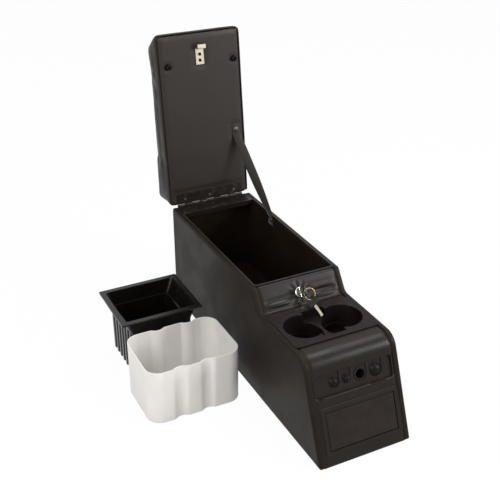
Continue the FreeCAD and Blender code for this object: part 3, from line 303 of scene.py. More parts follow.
@dataclass(frozen=True)
class Finish:
    """A surface finish: a colour, its gloss and its fine relief."""

    name: str
    colour: Colour
    roughness: float = 0.5
    metallic: float = 0.0
    grain: float = 900.0
    relief: float = 0.05
    cloud: float = 0.06
    cloud_scale: float = 14.0
    dust: float = 0.01
    wear: float = 0.0
    specular: float = 0.5

    def material(self) -> Material:
        """Make the material.

        Returns:
            The finished material.
        """
        made = bpy.data.materials.new(self.name)
        made.use_nodes = True
        wiring = Wiring(made.node_tree)
        shader = made.node_tree.nodes["Principled BSDF"]
        where = wiring.add("TexCoord").outputs["Object"]
        shader.inputs["Metallic"].default_value = self.metallic
        shader.inputs["Specular IOR Level"].default_value = self.specular
        self.dress(wiring, shader, where)
        return made

    def shades(self) -> tuple[tuple, tuple]:
        """The colour a little darker and a little lighter."""
        darker = tuple(int(part * (1.0 - self.cloud)) for part in self.colour)
        lighter = tuple(min(255, int(part * (1.0 + self.cloud))) for part in self.colour)
        return linear(darker), linear(lighter)

    def dress(self, wiring: Wiring, shader: Node, where: NodeSocket) -> None:
        """Fill in the shader's colour, roughness and relief.

        Args:
            wiring: The material's wiring.
            shader: Its Principled node.
            where: The piece's own coordinates.
        """
        grain = SHOP.place(wiring, Effect.GRAIN, where, Scale=self.grain, Cloud_Scale=self.cloud_scale)
        darker, lighter = self.shades()
        colour = wiring.blend(grain.outputs["Cloud"], darker, lighter)
        dust = SHOP.place(wiring, Effect.DUST, where, Amount=self.dust)
        colour = wiring.blend(dust.outputs["Mask"], colour, linear(DUST_COLOUR))
        rough = wiring.span(grain.outputs["Cloud"], 0.0, 1.0, self.roughness - 0.04, self.roughness + 0.05)
        if self.wear > 0.0:
            rubbed = SHOP.place(wiring, Effect.WEAR, where, Amount=self.wear)
            pale = tuple(min(255, int(part * 1.7) + 8) for part in self.colour)
            colour = wiring.blend(rubbed.outputs["Mask"], colour, linear(pale))
            gloss = wiring.calc("MULTIPLY", rubbed.outputs["Mask"], 0.12)
            rough = wiring.calc("SUBTRACT", rough, gloss, True)
        wiring.join(colour, shader.inputs["Base Color"])
        wiring.join(rough, shader.inputs["Roughness"])
        self.emboss(wiring, shader, grain.outputs["Height"])

    def emboss(self, wiring: Wiring, shader: Node, height: NodeSocket) -> None:
        """Turn a height into the shader's relief.

        Args:
            wiring: The material's wiring.
            shader: Its Principled node.
            height: The relief, from 0 to about 1.
        """
        bump = wiring.add("Bump", {"Strength": 0.6, "Distance": self.relief * MM, "Height": height})
        wiring.join(bump.outputs["Normal"], shader.inputs["Normal"])


@dataclass(frozen=True)
class DrawnMetal(Finish):
    """Metal with fine drawn lines and slight tarnish."""

    metallic: float = 1.0
    relief: float = 0.01
    cloud: float = 0.2
    tarnish: Colour = (90, 84, 76)

    def dress(self, wiring: Wiring, shader: Node, where: NodeSocket) -> None:
        """Fill in metal colour, lines and tarnish. Args are as for Finish."""
        lines = SHOP.place(wiring, Effect.BRUSH, where, Scale=self.grain)
        grain = SHOP.place(wiring, Effect.GRAIN, where, Scale=1500.0, Cloud_Scale=60.0)
        stained = wiring.span(grain.outputs["Cloud"], 0.55, 1.0, 0.0, self.cloud)
        colour = wiring.blend(stained, linear(self.colour), linear(self.tarnish))
        wiring.join(colour, shader.inputs["Base Color"])
        rough = wiring.span(lines.outputs["Height"], 0.3, 0.7, self.roughness - 0.05, self.roughness + 0.08)
        wiring.join(rough, shader.inputs["Roughness"])
        self.emboss(wiring, shader, lines.outputs["Height"])


@dataclass(frozen=True)
class SawnWood(Finish):
    """Plain softwood with grain along X."""

    def dress(self, wiring: Wiring, shader: Node, where: NodeSocket) -> None:
        """Fill in the wood's rings and pores. Args are as for Finish."""
        stretched = wiring.add("Mapping", {"Vector": where, "Scale": (0.12, 1.0, 1.0)})
        rings = wiring.noise(stretched.outputs["Vector"], 160.0, 6.0)
        pores = wiring.noise(stretched.outputs["Vector"], 1400.0, 2.0)
        darker, lighter = self.shades()
        tone = wiring.blend(wiring.span(rings, 0.35, 0.65), darker, lighter)
        wiring.join(tone, shader.inputs["Base Color"])
        shader.inputs["Roughness"].default_value = self.roughness
        self.emboss(wiring, shader, pores)


@dataclass(frozen=True)
class Webbing(Finish):
    """Woven strap: ribs across and a fine twill, laid along the piece's own UV map."""

    rib: float = 1.5
    twill: float = 1.1

    def dress(self, wiring: Wiring, shader: Node, where: NodeSocket) -> None:
        """Fill in the weave. Its colour is painted shade in the hollows and painted light on the raised
        threads, mixed with random fuzz. Args are as for Finish.
        """
        laid = wiring.add("UVMap", uv_map="weave").outputs["UV"]
        apart = wiring.add("SeparateXYZ", {0: laid}).outputs
        waves = []
        for place, pitch in ((apart["X"], self.rib), (apart["Y"], self.twill)):
            phase = wiring.calc("MULTIPLY", place, 2.0 * math.pi / (pitch * MM))
            waves.append(wiring.calc("SINE", phase, 0.0))
        height = wiring.span(wiring.calc("MULTIPLY", *waves), -1.0, 1.0)
        darker, lighter = self.shades()
        fuzz = wiring.noise(where, 260.0, 5.0)
        # Painted shade and painted light: the colour follows the weave's height, darker in its hollows and
        # lighter on its raised threads, mixed with random fuzz.
        tone = wiring.calc("ADD", wiring.calc("MULTIPLY", height, 0.6), wiring.calc("MULTIPLY", fuzz, 0.4))
        wiring.join(wiring.blend(tone, darker, lighter), shader.inputs["Base Color"])
        shader.inputs["Roughness"].default_value = self.roughness
        shader.inputs["Sheen Weight"].default_value = 0.25
        self.emboss(wiring, shader, height)


@dataclass(frozen=True)
class MilkyPlastic(Finish):
    """Pale translucent moulding with a soft glow in its thin walls."""

    glow: float = 0.25

    def dress(self, wiring: Wiring, shader: Node, where: NodeSocket) -> None:
        """Fill in the plastic, then let light into it. Args are as for Finish."""
        super().dress(wiring, shader, where)
        shader.inputs["Subsurface Weight"].default_value = self.glow
        shader.inputs["Subsurface Radius"].default_value = (0.006, 0.005, 0.004)
        shader.inputs["Subsurface Scale"].default_value = 1.0


class Paint:
    """Every finish of the console, each made into its material once."""

    SIDE_VINYL = Finish("side_vinyl", (30, 23, 17), 0.46, grain=620.0, relief=0.12, wear=0.16, specular=0.1)
    FRONT_VINYL = Finish("front_vinyl", (22, 16, 11), 0.36, grain=620.0, relief=0.07, wear=0.2, specular=0.2)
    LID_VINYL = Finish("lid_vinyl", (26, 20, 15), 0.42, grain=620.0, relief=0.09, wear=0.16, specular=0.15)
    LINING = Finish(
        "lid_lining", (30, 22, 15), 0.48, grain=760.0, relief=0.08, cloud_scale=9.0, dust=0.0, specular=0.35,
    )
    WELL = Finish(
        "well_lining", (28, 19, 11), 0.6, grain=500.0, relief=0.1, cloud=0.15, dust=0.03, specular=0.1,
    )
    BATTEN = SawnWood("batten_wood", (176, 140, 96), 0.75, relief=0.12, cloud=0.18)
    PIPING = Finish("rim_piping", (25, 20, 16), 0.34, relief=0.04, cloud=0.15, dust=0.06, specular=0.24)
    CUPS = Finish(
        "cup_plastic", (20, 15, 13), 0.42, grain=1300.0, cloud=0.05, dust=0.02, wear=0.3, specular=0.12,
    )
    PANEL = Finish("panel_plastic", (30, 25, 20), 0.44, grain=1100.0, relief=0.06, wear=0.3, specular=0.14)
    PLATE = Finish("plate_plastic", (30, 24, 21), 0.42, grain=1000.0, cloud=0.05, wear=0.3, specular=0.14)
    CAPS = Finish("cap_plastic", (15, 12, 10), 0.42, grain=1500.0, relief=0.02, cloud=0.05, specular=0.12)
    SOCKETS = Finish(
        "socket_plastic", (24, 19, 15), 0.38, grain=1500.0, relief=0.02, cloud=0.05, specular=0.2,
    )
    CHROME = DrawnMetal("lock_chrome", (232, 230, 226), 0.12, relief=0.004, cloud=0.1)
    ZINC = DrawnMetal("zinc_steel", (196, 188, 172), 0.3)
    DARK_STEEL = DrawnMetal("dark_steel", (30, 26, 23), 0.4)
    HINGE = DrawnMetal("hinge_steel", (40, 36, 32), 0.4, 0.85, cloud=0.25)
    SCREWS = DrawnMetal("screw_steel", (120, 114, 104), 0.32, cloud=0.25)
    STRAP_SCREWS = DrawnMetal("strap_screw_steel", (92, 86, 78), 0.36, cloud=0.25)
    BRASS = DrawnMetal("contact_brass", (196, 164, 98), 0.3, cloud=0.3)
    RING = DrawnMetal("ring_brass", (128, 114, 84), 0.22, relief=0.005)
    KEY = DrawnMetal("key_metal", (196, 188, 164), 0.2, relief=0.008, cloud=0.12)
    KEY_HEAD = Finish("key_plastic", (24, 22, 20), 0.32, grain=1400.0, relief=0.03, specular=0.35)
    RUBBER = Finish(
        "bumper_rubber", (10, 9, 8), 0.6, grain=1600.0, relief=0.03, cloud=0.1, dust=0.02, specular=0.12,
    )
    STRAP = Webbing("strap_fabric", (42, 38, 33), 0.75, relief=0.22, cloud=0.3, specular=0.12)
    BIN = Finish("bin_plastic", (16, 13, 11), 0.26, grain=1200.0, relief=0.03, specular=0.4)
    LINER = MilkyPlastic(
        "liner_plastic", (224, 221, 217), 0.45, grain=260.0, cloud=0.01, dust=0.0, specular=0.3,
    )

    def __init__(self) -> None:
        """Start with no materials made."""
        self.made: dict[str, Material] = {}

    def coat(self, piece: Object, finish: Finish) -> None:
        """Give a piece one finish all over.

        Args:
            piece: The object to dress.
            finish: Its finish.
        """
        if finish.name not in self.made:
            self.made[finish.name] = finish.material()
        slots = piece.data.materials
        if len(slots) == 0:
            slots.append(self.made[finish.name])
        for index in range(len(slots)):
            slots[index] = self.made[finish.name]


PAINT = Paint()


def read_vertices(mesh: Mesh, key: str = "co") -> np.ndarray:
    """Read one property of a mesh's vertices.

    Args:
        mesh: The mesh.
        key: The property: co, which is in metres, or normal.

    Returns:
        Three numbers for each vertex.
    """
    flat = np.zeros(len(mesh.vertices) * 3)
    mesh.vertices.foreach_get(key, flat)
    return flat.reshape(-1, 3)


def read_points(piece: Object) -> np.ndarray:
    """The mesh's vertices, in millimetres."""
    return read_vertices(piece.data) / MM


def read_normals(piece: Object) -> np.ndarray:
    """The mesh's vertex normals."""
    return read_vertices(piece.data, "normal")


def write_points(piece: Object, points: np.ndarray) -> None:
    """Put vertices back, from millimetres."""
    piece.data.vertices.foreach_set("co", (points * MM).astype(np.float32).ravel())
    piece.data.update()


def new_piece(name: str, shape: bmesh.types.BMesh) -> Object:
    """Put a built shape in the scene.

    Args:
        name: The object's name.
        shape: Its mesh, which is used up.

    Returns:
        The new object.
    """
    mesh = bpy.data.meshes.new(name)
    shape.to_mesh(mesh)
    shape.free()
    piece = bpy.data.objects.new(name, mesh)
    bpy.context.scene.collection.objects.link(piece)
    return piece


def ease(value: np.ndarray, low: float, high: float) -> np.ndarray:
    """Smooth step from 0 at low to 1 at high.

    Args:
        value: What to compare.
        low: Where it starts.
        high: Where it ends.

    Returns:
        Shares between 0 and 1.
    """
    share = np.clip((value - low) / (high - low), 0.0, 1.0)
    return share * share * (3.0 - 2.0 * share)


def waviness(points: np.ndarray, wavelength: float) -> np.ndarray:
    """Slow unevenness at each point, from about -1 to 1.

    Args:
        points: Places in millimetres.
        wavelength: The distance between swells, in millimetres.

    Returns:
        One value for each point.
    """
    return np.array([noise.noise(Vector(point) / wavelength) for point in points])


class SoftPiece:
    """A vinyl or cloth piece made from a copy of the solid that it stands for."""

    def __init__(self, name: str, node: str, lid: "ShutLid | None" = None) -> None:
        """Copy a CAD node's mesh and merge its loose triangles.

        Args:
            name: The new piece's name.
            node: The CAD node that it replaces.
            lid: The shut lid, for a piece that is on it, since its sizes are square to that.
        """
        self.node = node
        self.lid = lid
        shape = bmesh.new()
        shape.from_mesh(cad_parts[node].data)
        bmesh.ops.remove_doubles(shape, verts=shape.verts, dist=0.01 * MM)
        self.piece = new_piece(name, shape)
        self.low, self.high = self.extent()

    def stated(self) -> np.ndarray:
        """The vertices where the sizes state them: with the lid shut, if the piece is on it."""
        points = read_points(self.piece)
        return self.lid.shut(points) if self.lid else points

    def restate(self, points: np.ndarray) -> None:
        """Put back vertices that stated() gave."""
        write_points(self.piece, self.lid.opened(points) if self.lid else points)

    def extent(self) -> tuple[np.ndarray, np.ndarray]:
        """The piece's lowest and highest corners, as stated."""
        points = self.stated()
        return points.min(axis=0), points.max(axis=0)

    def fit(self, tuck: float = 0.0) -> None:
        """Stretch the softened piece back to its solid's length, width and height.

        Args:
            tuck: How far it reaches past the solid to each side, in millimetres, under a neighbour.
        """
        low, high = self.extent()
        under = np.array([tuck, 0.0, 0.0])
        goal_low = self.low - under
        goal_high = self.high + under
        self.restate(goal_low + (self.stated() - low) * (goal_high - goal_low) / (high - low))

    def remesh(self, cell: float) -> None:
        """Give the piece an even skin of small squares, square to the lid if it is on it.

        Args:
            cell: The size of a square, in millimetres.
        """
        write_points(self.piece, self.stated())
        modifier = self.piece.modifiers.new("even_skin", "REMESH")
        modifier.mode = "VOXEL"
        modifier.voxel_size = cell * MM
        bpy.context.view_layer.update()
        graph = bpy.context.evaluated_depsgraph_get()
        mesh = bpy.data.meshes.new_from_object(self.piece.evaluated_get(graph))
        self.piece.modifiers.clear()
        mesh.name = self.piece.name
        self.piece.data = mesh
        self.restate(read_points(self.piece))

    def relax(self, rounds: int, foot: float = -1.0) -> None:
        """Soften the edges.

        Args:
            rounds: How many passes.
            foot: Height in millimetres under which the edges stay as sharp as they are.
        """
        shape = bmesh.new()
        shape.from_mesh(self.piece.data)
        free = [vert for vert in shape.verts if vert.co.z > foot * MM]
        for _ in range(rounds):
            bmesh.ops.smooth_vert(
                shape, verts=free, factor=0.5, use_axis_x=True, use_axis_y=True, use_axis_z=True
            )
        shape.to_mesh(self.piece.data)
        shape.free()

    def swell(self, heights: np.ndarray) -> None:
        """Move each point along its normal.

        Args:
            heights: Millimetres outward for each vertex.
        """
        points = read_points(self.piece)
        write_points(self.piece, points + read_normals(self.piece) * heights[:, None])

    def finish(self, body: str, slot: str, finish: Finish) -> None:
        """Shade, dress and attach the piece.

        Args:
            body: The CAD body that it rides on.
            slot: The record's material slot; not used.
            finish: Its finish.
        """
        for polygon in self.piece.data.polygons:
            polygon.use_smooth = True
        PAINT.coat(self.piece, finish)
        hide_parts(self.node)
        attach(self.piece, body)


@dataclass
class SidePanel:
    """A vinyl-covered side of the body."""

    side: Side
    cell: float = 2.5
    foot: float = 5.0
    face_start: float = 106.0
    face_full: float = 109.0
    swell_height: float = 0.35
    swell_length: float = 95.0

    def build(self) -> list[Object]:
        """Make the skin over one side panel.

        Returns:
            The finished piece, in a list.
        """
        word = self.side.name.lower()
        skin = SoftPiece(f"side_skin_{word}", f"side_panel_{word}")
        skin.remesh(self.cell)
        skin.relax(2, self.foot)
        skin.fit()
        points = read_points(skin.piece)
        face = ease(self.side.value * points[:, 0], self.face_start, self.face_full)
        skin.swell(face * (waviness(points, self.swell_length) - 0.5) * self.swell_height)
        skin.finish("console", "body_vinyl", Paint.SIDE_VINYL)
        return [skin.piece]


@dataclass(frozen=True)
class Fold:
    """A soft ridge or valley in the front cover, between two places on it."""

    start: Pair
    end: Pair
    height: float
    half_width: float
    fade_before: float = 8.0
    fade_within: float = 14.0

    def heights(self, across: np.ndarray, down: np.ndarray) -> np.ndarray:
        """How far the fold lifts each place.

        Args:
            across: Distance across the cover, in millimetres.
            down: Distance down along it from the rim, in millimetres.

        Returns:
            Millimetres for each place.
        """
        start = np.array(self.start)
        run = np.array(self.end) - start
        length = np.hypot(*run)
        way = run / length
        offset = np.stack([across, down], axis=1) - start
        along = offset @ way
        aside = offset @ np.array([-way[1], way[0]])
        fade = ease(along, -self.fade_before, self.fade_within)
        fade = fade * (1.0 - ease(along, length - self.fade_within, length + self.fade_before))
        return self.height * fade * np.exp(-((aside / self.half_width) ** 2))


@dataclass
class FrontCover:
    """The padded vinyl sheet over the brow, slope, deck, nose and fascia."""

    cell: float = 2.0
    inner_half: float = 96.0
    edge_fall: float = 1.2
    edge_run: float = 7.0
    foot: float = 5.0
    tuck: float = 1.8
    nose_run: float = 245.1
    tray_half: float = 93.0
    tray_span: Pair = (38.0, 88.0)
    tray_corner: float = 7.0
    tray_tuck: float = 0.8
    tray_flat: float = 2.6
    tray_reach: float = 7.0
    tray_depth: float = 3.0
    lock_place: float = 33.0
    pucker_count: int = 9
    pucker_height: float = 0.7
    pucker_start: Pair = (11.0, 15.0)
    pucker_end: Pair = (16.0, 32.0)
    wave_height: float = 0.25
    wave_length: float = 70.0
    chain: tuple = ((-69.5, 261.0), (-102.5, 215.0), (-291.0, 215.0), (-375.5, 0.0))
    folds: tuple = (
        Fold((-92.0, 37.0), (-16.0, 35.0), -1.0, 5.5),
        Fold((22.0, 24.0), (93.0, 24.0), 1.1, 8.0),
        Fold((-94.0, 59.0), (94.0, 59.0), -0.8, 4.5),
    )

    def down(self, points: np.ndarray) -> np.ndarray:
        """Distance of each point down along the cover from the rim."""
        best = np.full(len(points), 1e9)
        place = np.zeros(len(points))
        walked = 0.0
        for start, end in zip(self.chain, self.chain[1:]):
            a = np.array(start)
            run = np.array(end) - a
            length = float(np.hypot(*run))
            along = np.clip((points[:, 1:] - a) @ (run / length), 0.0, length)
            near = a + along[:, None] * (run / length)
            gap = np.hypot(*(points[:, 1:] - near).T)
            closer = gap < best
            best[closer] = gap[closer]
            place[closer] = walked + along[closer]
            walked += length
        return place

    def close_tray(self, piece: Object) -> None:
        """Draw the edge of the tray's hole in to one even line, over the tray's wall.

        Args:
            piece: The skin.
        """
        points = read_points(piece)
        start, end = self.tray_span
        middle = np.array([0.0, self.nose_run + (start + end) / 2.0])
        half = np.array([self.tray_half, (end - start) / 2.0])
        offset = np.stack([points[:, 0], self.down(points)], axis=1) - middle
        past = np.abs(offset) - half + self.tray_corner
        round_way = np.maximum(past, 0.0)
        reach = np.hypot(*round_way.T)
        outside = reach + np.minimum(past.max(axis=1), 0.0) - self.tray_corner
        near = (outside > -self.tray_depth) & (outside < self.tray_reach)
        wanted = np.interp(outside, (self.tray_flat, self.tray_reach), (-self.tray_tuck, self.tray_reach))
        shift = np.where(near, wanted - outside, 0.0)
        flat_way = np.eye(2)[past.argmax(axis=1)]
        way = np.where(reach[:, None] > 0.0, round_way / np.maximum(reach, 1e-6)[:, None], flat_way)
        pull = np.sign(offset) * way * shift[:, None]
        slope = (Vector(self.chain[3]) - Vector(self.chain[2])).normalized()
        points[:, 0] += pull[:, 0]
        points[:, 1] += pull[:, 1] * slope.x
        points[:, 2] += pull[:, 1] * slope.y
        write_points(piece, points)

    def build(self) -> list[Object]:
        """Make the cover with its folds, its puckers and its drawn-in edges.

        Returns:
            The finished piece, in a list.
        """
        skin = SoftPiece("front_skin", "front_cover")
        skin.remesh(self.cell)
        skin.relax(1, self.foot)
        skin.fit(self.tuck)
        self.close_tray(skin.piece)
        points = read_points(skin.piece)
        normals = read_normals(skin.piece)
        across = points[:, 0]
        down = self.down(points)
        outward = ease(normals[:, 2] * 0.6 - normals[:, 1] * 0.6, 0.05, 0.45)
        heights = sum(fold.heights(across, down) for fold in self.folds)
        reach = np.hypot(across, down - self.lock_place)
        turn = np.arctan2(down - self.lock_place, across)
        near_lock = ease(reach, *self.pucker_start) * (1.0 - ease(reach, *self.pucker_end))
        heights = heights + self.pucker_height * near_lock * np.cos(self.pucker_count * turn)
        near_edge = ease(np.abs(across), self.inner_half - self.edge_run, self.inner_half)
        heights = heights - self.edge_fall * near_edge
        heights = heights + self.wave_height * waviness(points, self.wave_length)
        skin.swell(outward * heights)
        skin.finish("console", "body_vinyl", Paint.FRONT_VINYL)
        return [skin.piece]


class ShutLid:
    """Turns places on the open lid into places on the shut one, where its sizes are stated."""

    def __init__(self) -> None:
        """Work out the turn about the hinge pin."""
        cosine = math.cos(LID_ANGLE)
        sine = math.sin(LID_ANGLE)
        self.turn = np.array([[1.0, 0.0, 0.0], [0.0, cosine, -sine], [0.0, sine, cosine]])
        self.pin = np.array([0.0, PIN_Y, PIN_Z])

    def shut(self, points: np.ndarray) -> np.ndarray:
        """Places on the shut lid."""
        return (points - self.pin) @ self.turn.T + self.pin

    def opened(self, points: np.ndarray) -> np.ndarray:
        """Places on the open lid."""
        return (points - self.pin) @ self.turn + self.pin


@dataclass(frozen=True)
class Footprint:
    """What stands on the lid's lining and presses it flat: a rectangle with rounded corners."""

    x: float
    along: float
    half_x: float
    half_along: float

    def distance(self, across: np.ndarray, along: np.ndarray) -> np.ndarray:
        """Distance from the footprint's edge, 0 inside it.

        Args:
            across: X of each place.
            along: Distance of each place from the hinge pin.

        Returns:
            Millimetres for each place.
        """
        gap_x = np.maximum(np.abs(across - self.x) - self.half_x, 0.0)
        gap_along = np.maximum(np.abs(along - self.along) - self.half_along, 0.0)
        return np.hypot(gap_x, gap_along)


@dataclass
class Lid:
    """The armrest lid: stuffed vinyl cushion, and the lining over its board."""

    cushion_cell: float = 5.0
    lining_cell: float = 3.0
    pressure: float = 4.0
    last_frame: int = 20
    swell_cap: float = 3.5
    held_depth: Pair = (12.0, 26.0)
    cushion_wave: float = 0.4
    cushion_wave_length: float = 60.0
    lining_rise: float = 1.2
    lining_wave: float = 0.2
    lining_wave_length: float = 50.0
    lining_half: float = 105.0
    lining_span: Pair = (4.0, 422.0)
    lining_edge: Pair = (1.0, 12.0)
    press_reach: float = 13.0
    press_wave_reach: float = 6.0
    footprints: tuple = (
        Footprint(-87.0, 350.0, 3.0, 3.0),
        Footprint(86.0, 350.0, 3.0, 3.0),
        Footprint(-3.5, 367.0, 12.0, 22.0),
        Footprint(82.0, 172.0, 13.0, 14.0),
        Footprint(-3.5, 12.0, 92.0, 20.0),
    )

    def build(self) -> list[Object]:
        """Make the cushion and the lining.

        Returns:
            Both pieces.
        """
        return [self.cushion(), self.lining()]

    def cushion(self) -> Object:
        """Stuff the cushion by a short cloth simulation, held where the board lies in it.

        Returns:
            The finished piece.
        """
        soft = SoftPiece("lid_padding", "lid_cushion", ShutLid())
        soft.remesh(self.cushion_cell)
        soft.relax(2)
        soft.fit()
        rest = read_points(soft.piece)
        blown = self.simulate(soft.piece)
        free = ease(soft.lid.shut(rest)[:, 2] - LID_LEVEL, *self.held_depth)
        step = blown - rest
        size = np.maximum(np.linalg.norm(step, axis=1), 1e-6)
        step = step * np.minimum(1.0, self.swell_cap / size)[:, None]
        write_points(soft.piece, rest + step * free[:, None])
        soft.relax(1)
        soft.swell(self.cushion_wave * waviness(read_points(soft.piece), self.cushion_wave_length))
        level = soft.piece.modifiers.new("fine_skin", "SUBSURF")
        level.levels = 1
        level.render_levels = 1
        soft.finish("lid", "lid_vinyl", Paint.LID_VINYL)
        return soft.piece

    def simulate(self, piece: Object) -> np.ndarray:
        """Blow a piece up a little as cloth.

        Args:
            piece: The mesh to stuff.

        Returns:
            Its stuffed vertices, in millimetres.
        """
        cloth = piece.modifiers.new("stuffing", "CLOTH")
        cloth.settings.quality = 5
        cloth.settings.mass = 0.3
        cloth.settings.tension_stiffness = 20.0
        cloth.settings.compression_stiffness = 20.0
        cloth.settings.bending_stiffness = 1.0
        cloth.settings.use_pressure = True
        cloth.settings.uniform_pressure_force = self.pressure
        cloth.settings.effector_weights.gravity = 0.0
        cloth.collision_settings.use_collision = False
        cloth.collision_settings.use_self_collision = False
        cloth.point_cache.frame_start = 1
        cloth.point_cache.frame_end = self.last_frame
        scene = bpy.context.scene
        for number in range(1, self.last_frame + 1):
            scene.frame_set(number)
        graph = bpy.context.evaluated_depsgraph_get()
        stuffed = read_vertices(piece.evaluated_get(graph).to_mesh()) / MM
        piece.evaluated_get(graph).to_mesh_clear()
        piece.modifiers.clear()
        scene.frame_set(1)
        return stuffed

    def lining(self) -> Object:
        """Make the lining, raised a little by its foam except where fittings press it flat.

        Returns:
            The finished piece.
        """
        soft = SoftPiece("lid_lining", "lid_board", ShutLid())
        soft.remesh(self.lining_cell)
        soft.relax(1)
        soft.fit()
        points = read_points(soft.piece)
        shut = soft.lid.shut(points)
        normals = read_normals(soft.piece) @ soft.lid.turn.T
        along = PIN_Y - shut[:, 1]
        gap = np.full(len(points), 1e9)
        for footprint in self.footprints:
            gap = np.minimum(gap, footprint.distance(shut[:, 0], along))
        start, end = self.lining_span
        inside = self.lining_half - np.abs(shut[:, 0] - LID_SHIFT)
        inside = np.minimum(inside, np.minimum(along - start, end - along))
        facing = ease(-normals[:, 2], 0.5, 0.9) * ease(inside, *self.lining_edge)
        rise = self.lining_rise * ease(gap, 0.0, self.press_reach)
        wave = self.lining_wave * waviness(points, self.lining_wave_length)
        soft.swell(facing * (rise + wave * ease(gap, 0.0, self.press_wave_reach)))
        soft.finish("lid", "lid_lining", Paint.LINING)
        return soft.piece


@dataclass
class LidStrap:
    """The woven strap from lid to right wall, flat at both ends with a quarter twist between."""

    width: float = 22.0
    thickness: float = 1.6
    tab: float = 12.0
    lid_x: float = 82.0
    lid_along: float = 172.0
    wall: Triple = (95.2, 228.5, 247.0)
    steps: int = 48
    sag: float = 1.5
    edge: float = 0.7

    def stations(self) -> list[tuple[Vector, Vector, Vector]]:
        """Walk along the strap, from its end on the lid.

        Returns:
            For each station its place, the way across the strap and the way along it.
        """
        lid_point, lid_way, upper, lower = self.ends()
        lid_across = Vector((1.0, 0.0, 0.0))
        stations = [(lid_point - lid_way * self.tab, lid_across, lid_way), (lid_point, lid_across, lid_way)]
        run = (lower - upper).normalized()
        for index in range(self.steps + 1):
            share = index / self.steps
            turn = -math.pi / 2.0 * share
            width_way = Vector((math.cos(turn), math.sin(turn), 0.0))
            width_way = (width_way - run * width_way.dot(run)).normalized()
            place = upper.lerp(lower, share) - Vector((0.0, 0.0, self.sag * math.sin(math.pi * share)))
            stations.append((place, width_way, run))
        wall = Vector(self.wall)
        wall_across = Vector((0.0, -1.0, 0.0))
        fall = Vector((0.0, 0.0, -1.0))
        return stations + [(wall, wall_across, fall), (wall + fall * self.tab, wall_across, fall)]

    def build(self) -> list[Object]:
        """Make the strap by carrying one cross-section along it.

        Returns:
            The finished piece, in a list.
        """
        stations = self.stations()
        shape = bmesh.new()
        laid = shape.loops.layers.uv.new("weave")
        rows = []
        lengths = [0.0]
        for number, (place, width_way, way) in enumerate(stations):
            if number:
                lengths.append(lengths[-1] + (place - stations[number - 1][0]).length)
            rows.append(self.section(shape, place, width_way, way.cross(width_way).normalized()))
        for number, (first, second) in enumerate(zip(rows, rows[1:])):
            corners = len(first)
            for k in range(corners):
                following = (k + 1) % corners
                face = shape.faces.new((first[k], first[following], second[following], second[k]))
                face.smooth = True
                spots = ((k, number), (k + 1, number), (k + 1, number + 1), (k, number + 1))
                for loop, (corner, row) in zip(face.loops, spots):
                    loop[laid].uv = (corner * self.width / (corners - 1) * MM, lengths[row] * MM)
        for row in (rows[0], rows[-1]):
            shape.faces.new(row)
        bmesh.ops.recalc_face_normals(shape, faces=shape.faces)
        piece = new_piece("lid_strap_web", shape)
        PAINT.coat(piece, Paint.STRAP)
        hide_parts("lid_strap")
        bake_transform(piece)
        return [piece]

    def ends(self) -> tuple[Vector, Vector, Vector, Vector]:
        """Where the strap leaves the lid and reaches the wall.

        Returns:
            The lid's screw place, the way down the open lid, and the two ends of the free run.
        """
        lid = ShutLid()
        level = LID_LEVEL - self.thickness / 2.0
        spots = np.array([[self.lid_x, PIN_Y - self.lid_along, level], [self.lid_x, PIN_Y, level]])
        opened = lid.opened(spots)
        lid_point = Vector(opened[0])
        lid_way = (Vector(opened[1]) - lid_point).normalized()
        wall = Vector(self.wall)
        return lid_point, lid_way, lid_point + lid_way * self.tab, wall + Vector((0.0, 0.0, self.tab))

    def section(self, shape: bmesh.types.BMesh, place: Vector, width_way: Vector, out: Vector) -> list:
        """Six corners round the strap, thinner at its woven edges.

        Args:
            shape: The mesh that gets them.
            place: The middle of the strap.
            width_way: Across it.
            out: Away from its face.

        Returns:
            The new vertices, in order.
        """
        half = self.width / 2.0
        flat = half - self.edge
        thick = self.thickness / 2.0
        over = ((-half, 0.0), (-flat, thick), (flat, thick))
        under = tuple((-a, -b) for a, b in over)
        return [shape.verts.new((place + width_way * a + out * b) * MM) for a, b in over + under]


@dataclass(frozen=True)
class Dressing:
    """How a group of CAD nodes is finished: its finish and the softness of its edges."""

    finish: Finish
    nodes: tuple[str, ...]
    edge: float = 0.3
    segments: int = 2


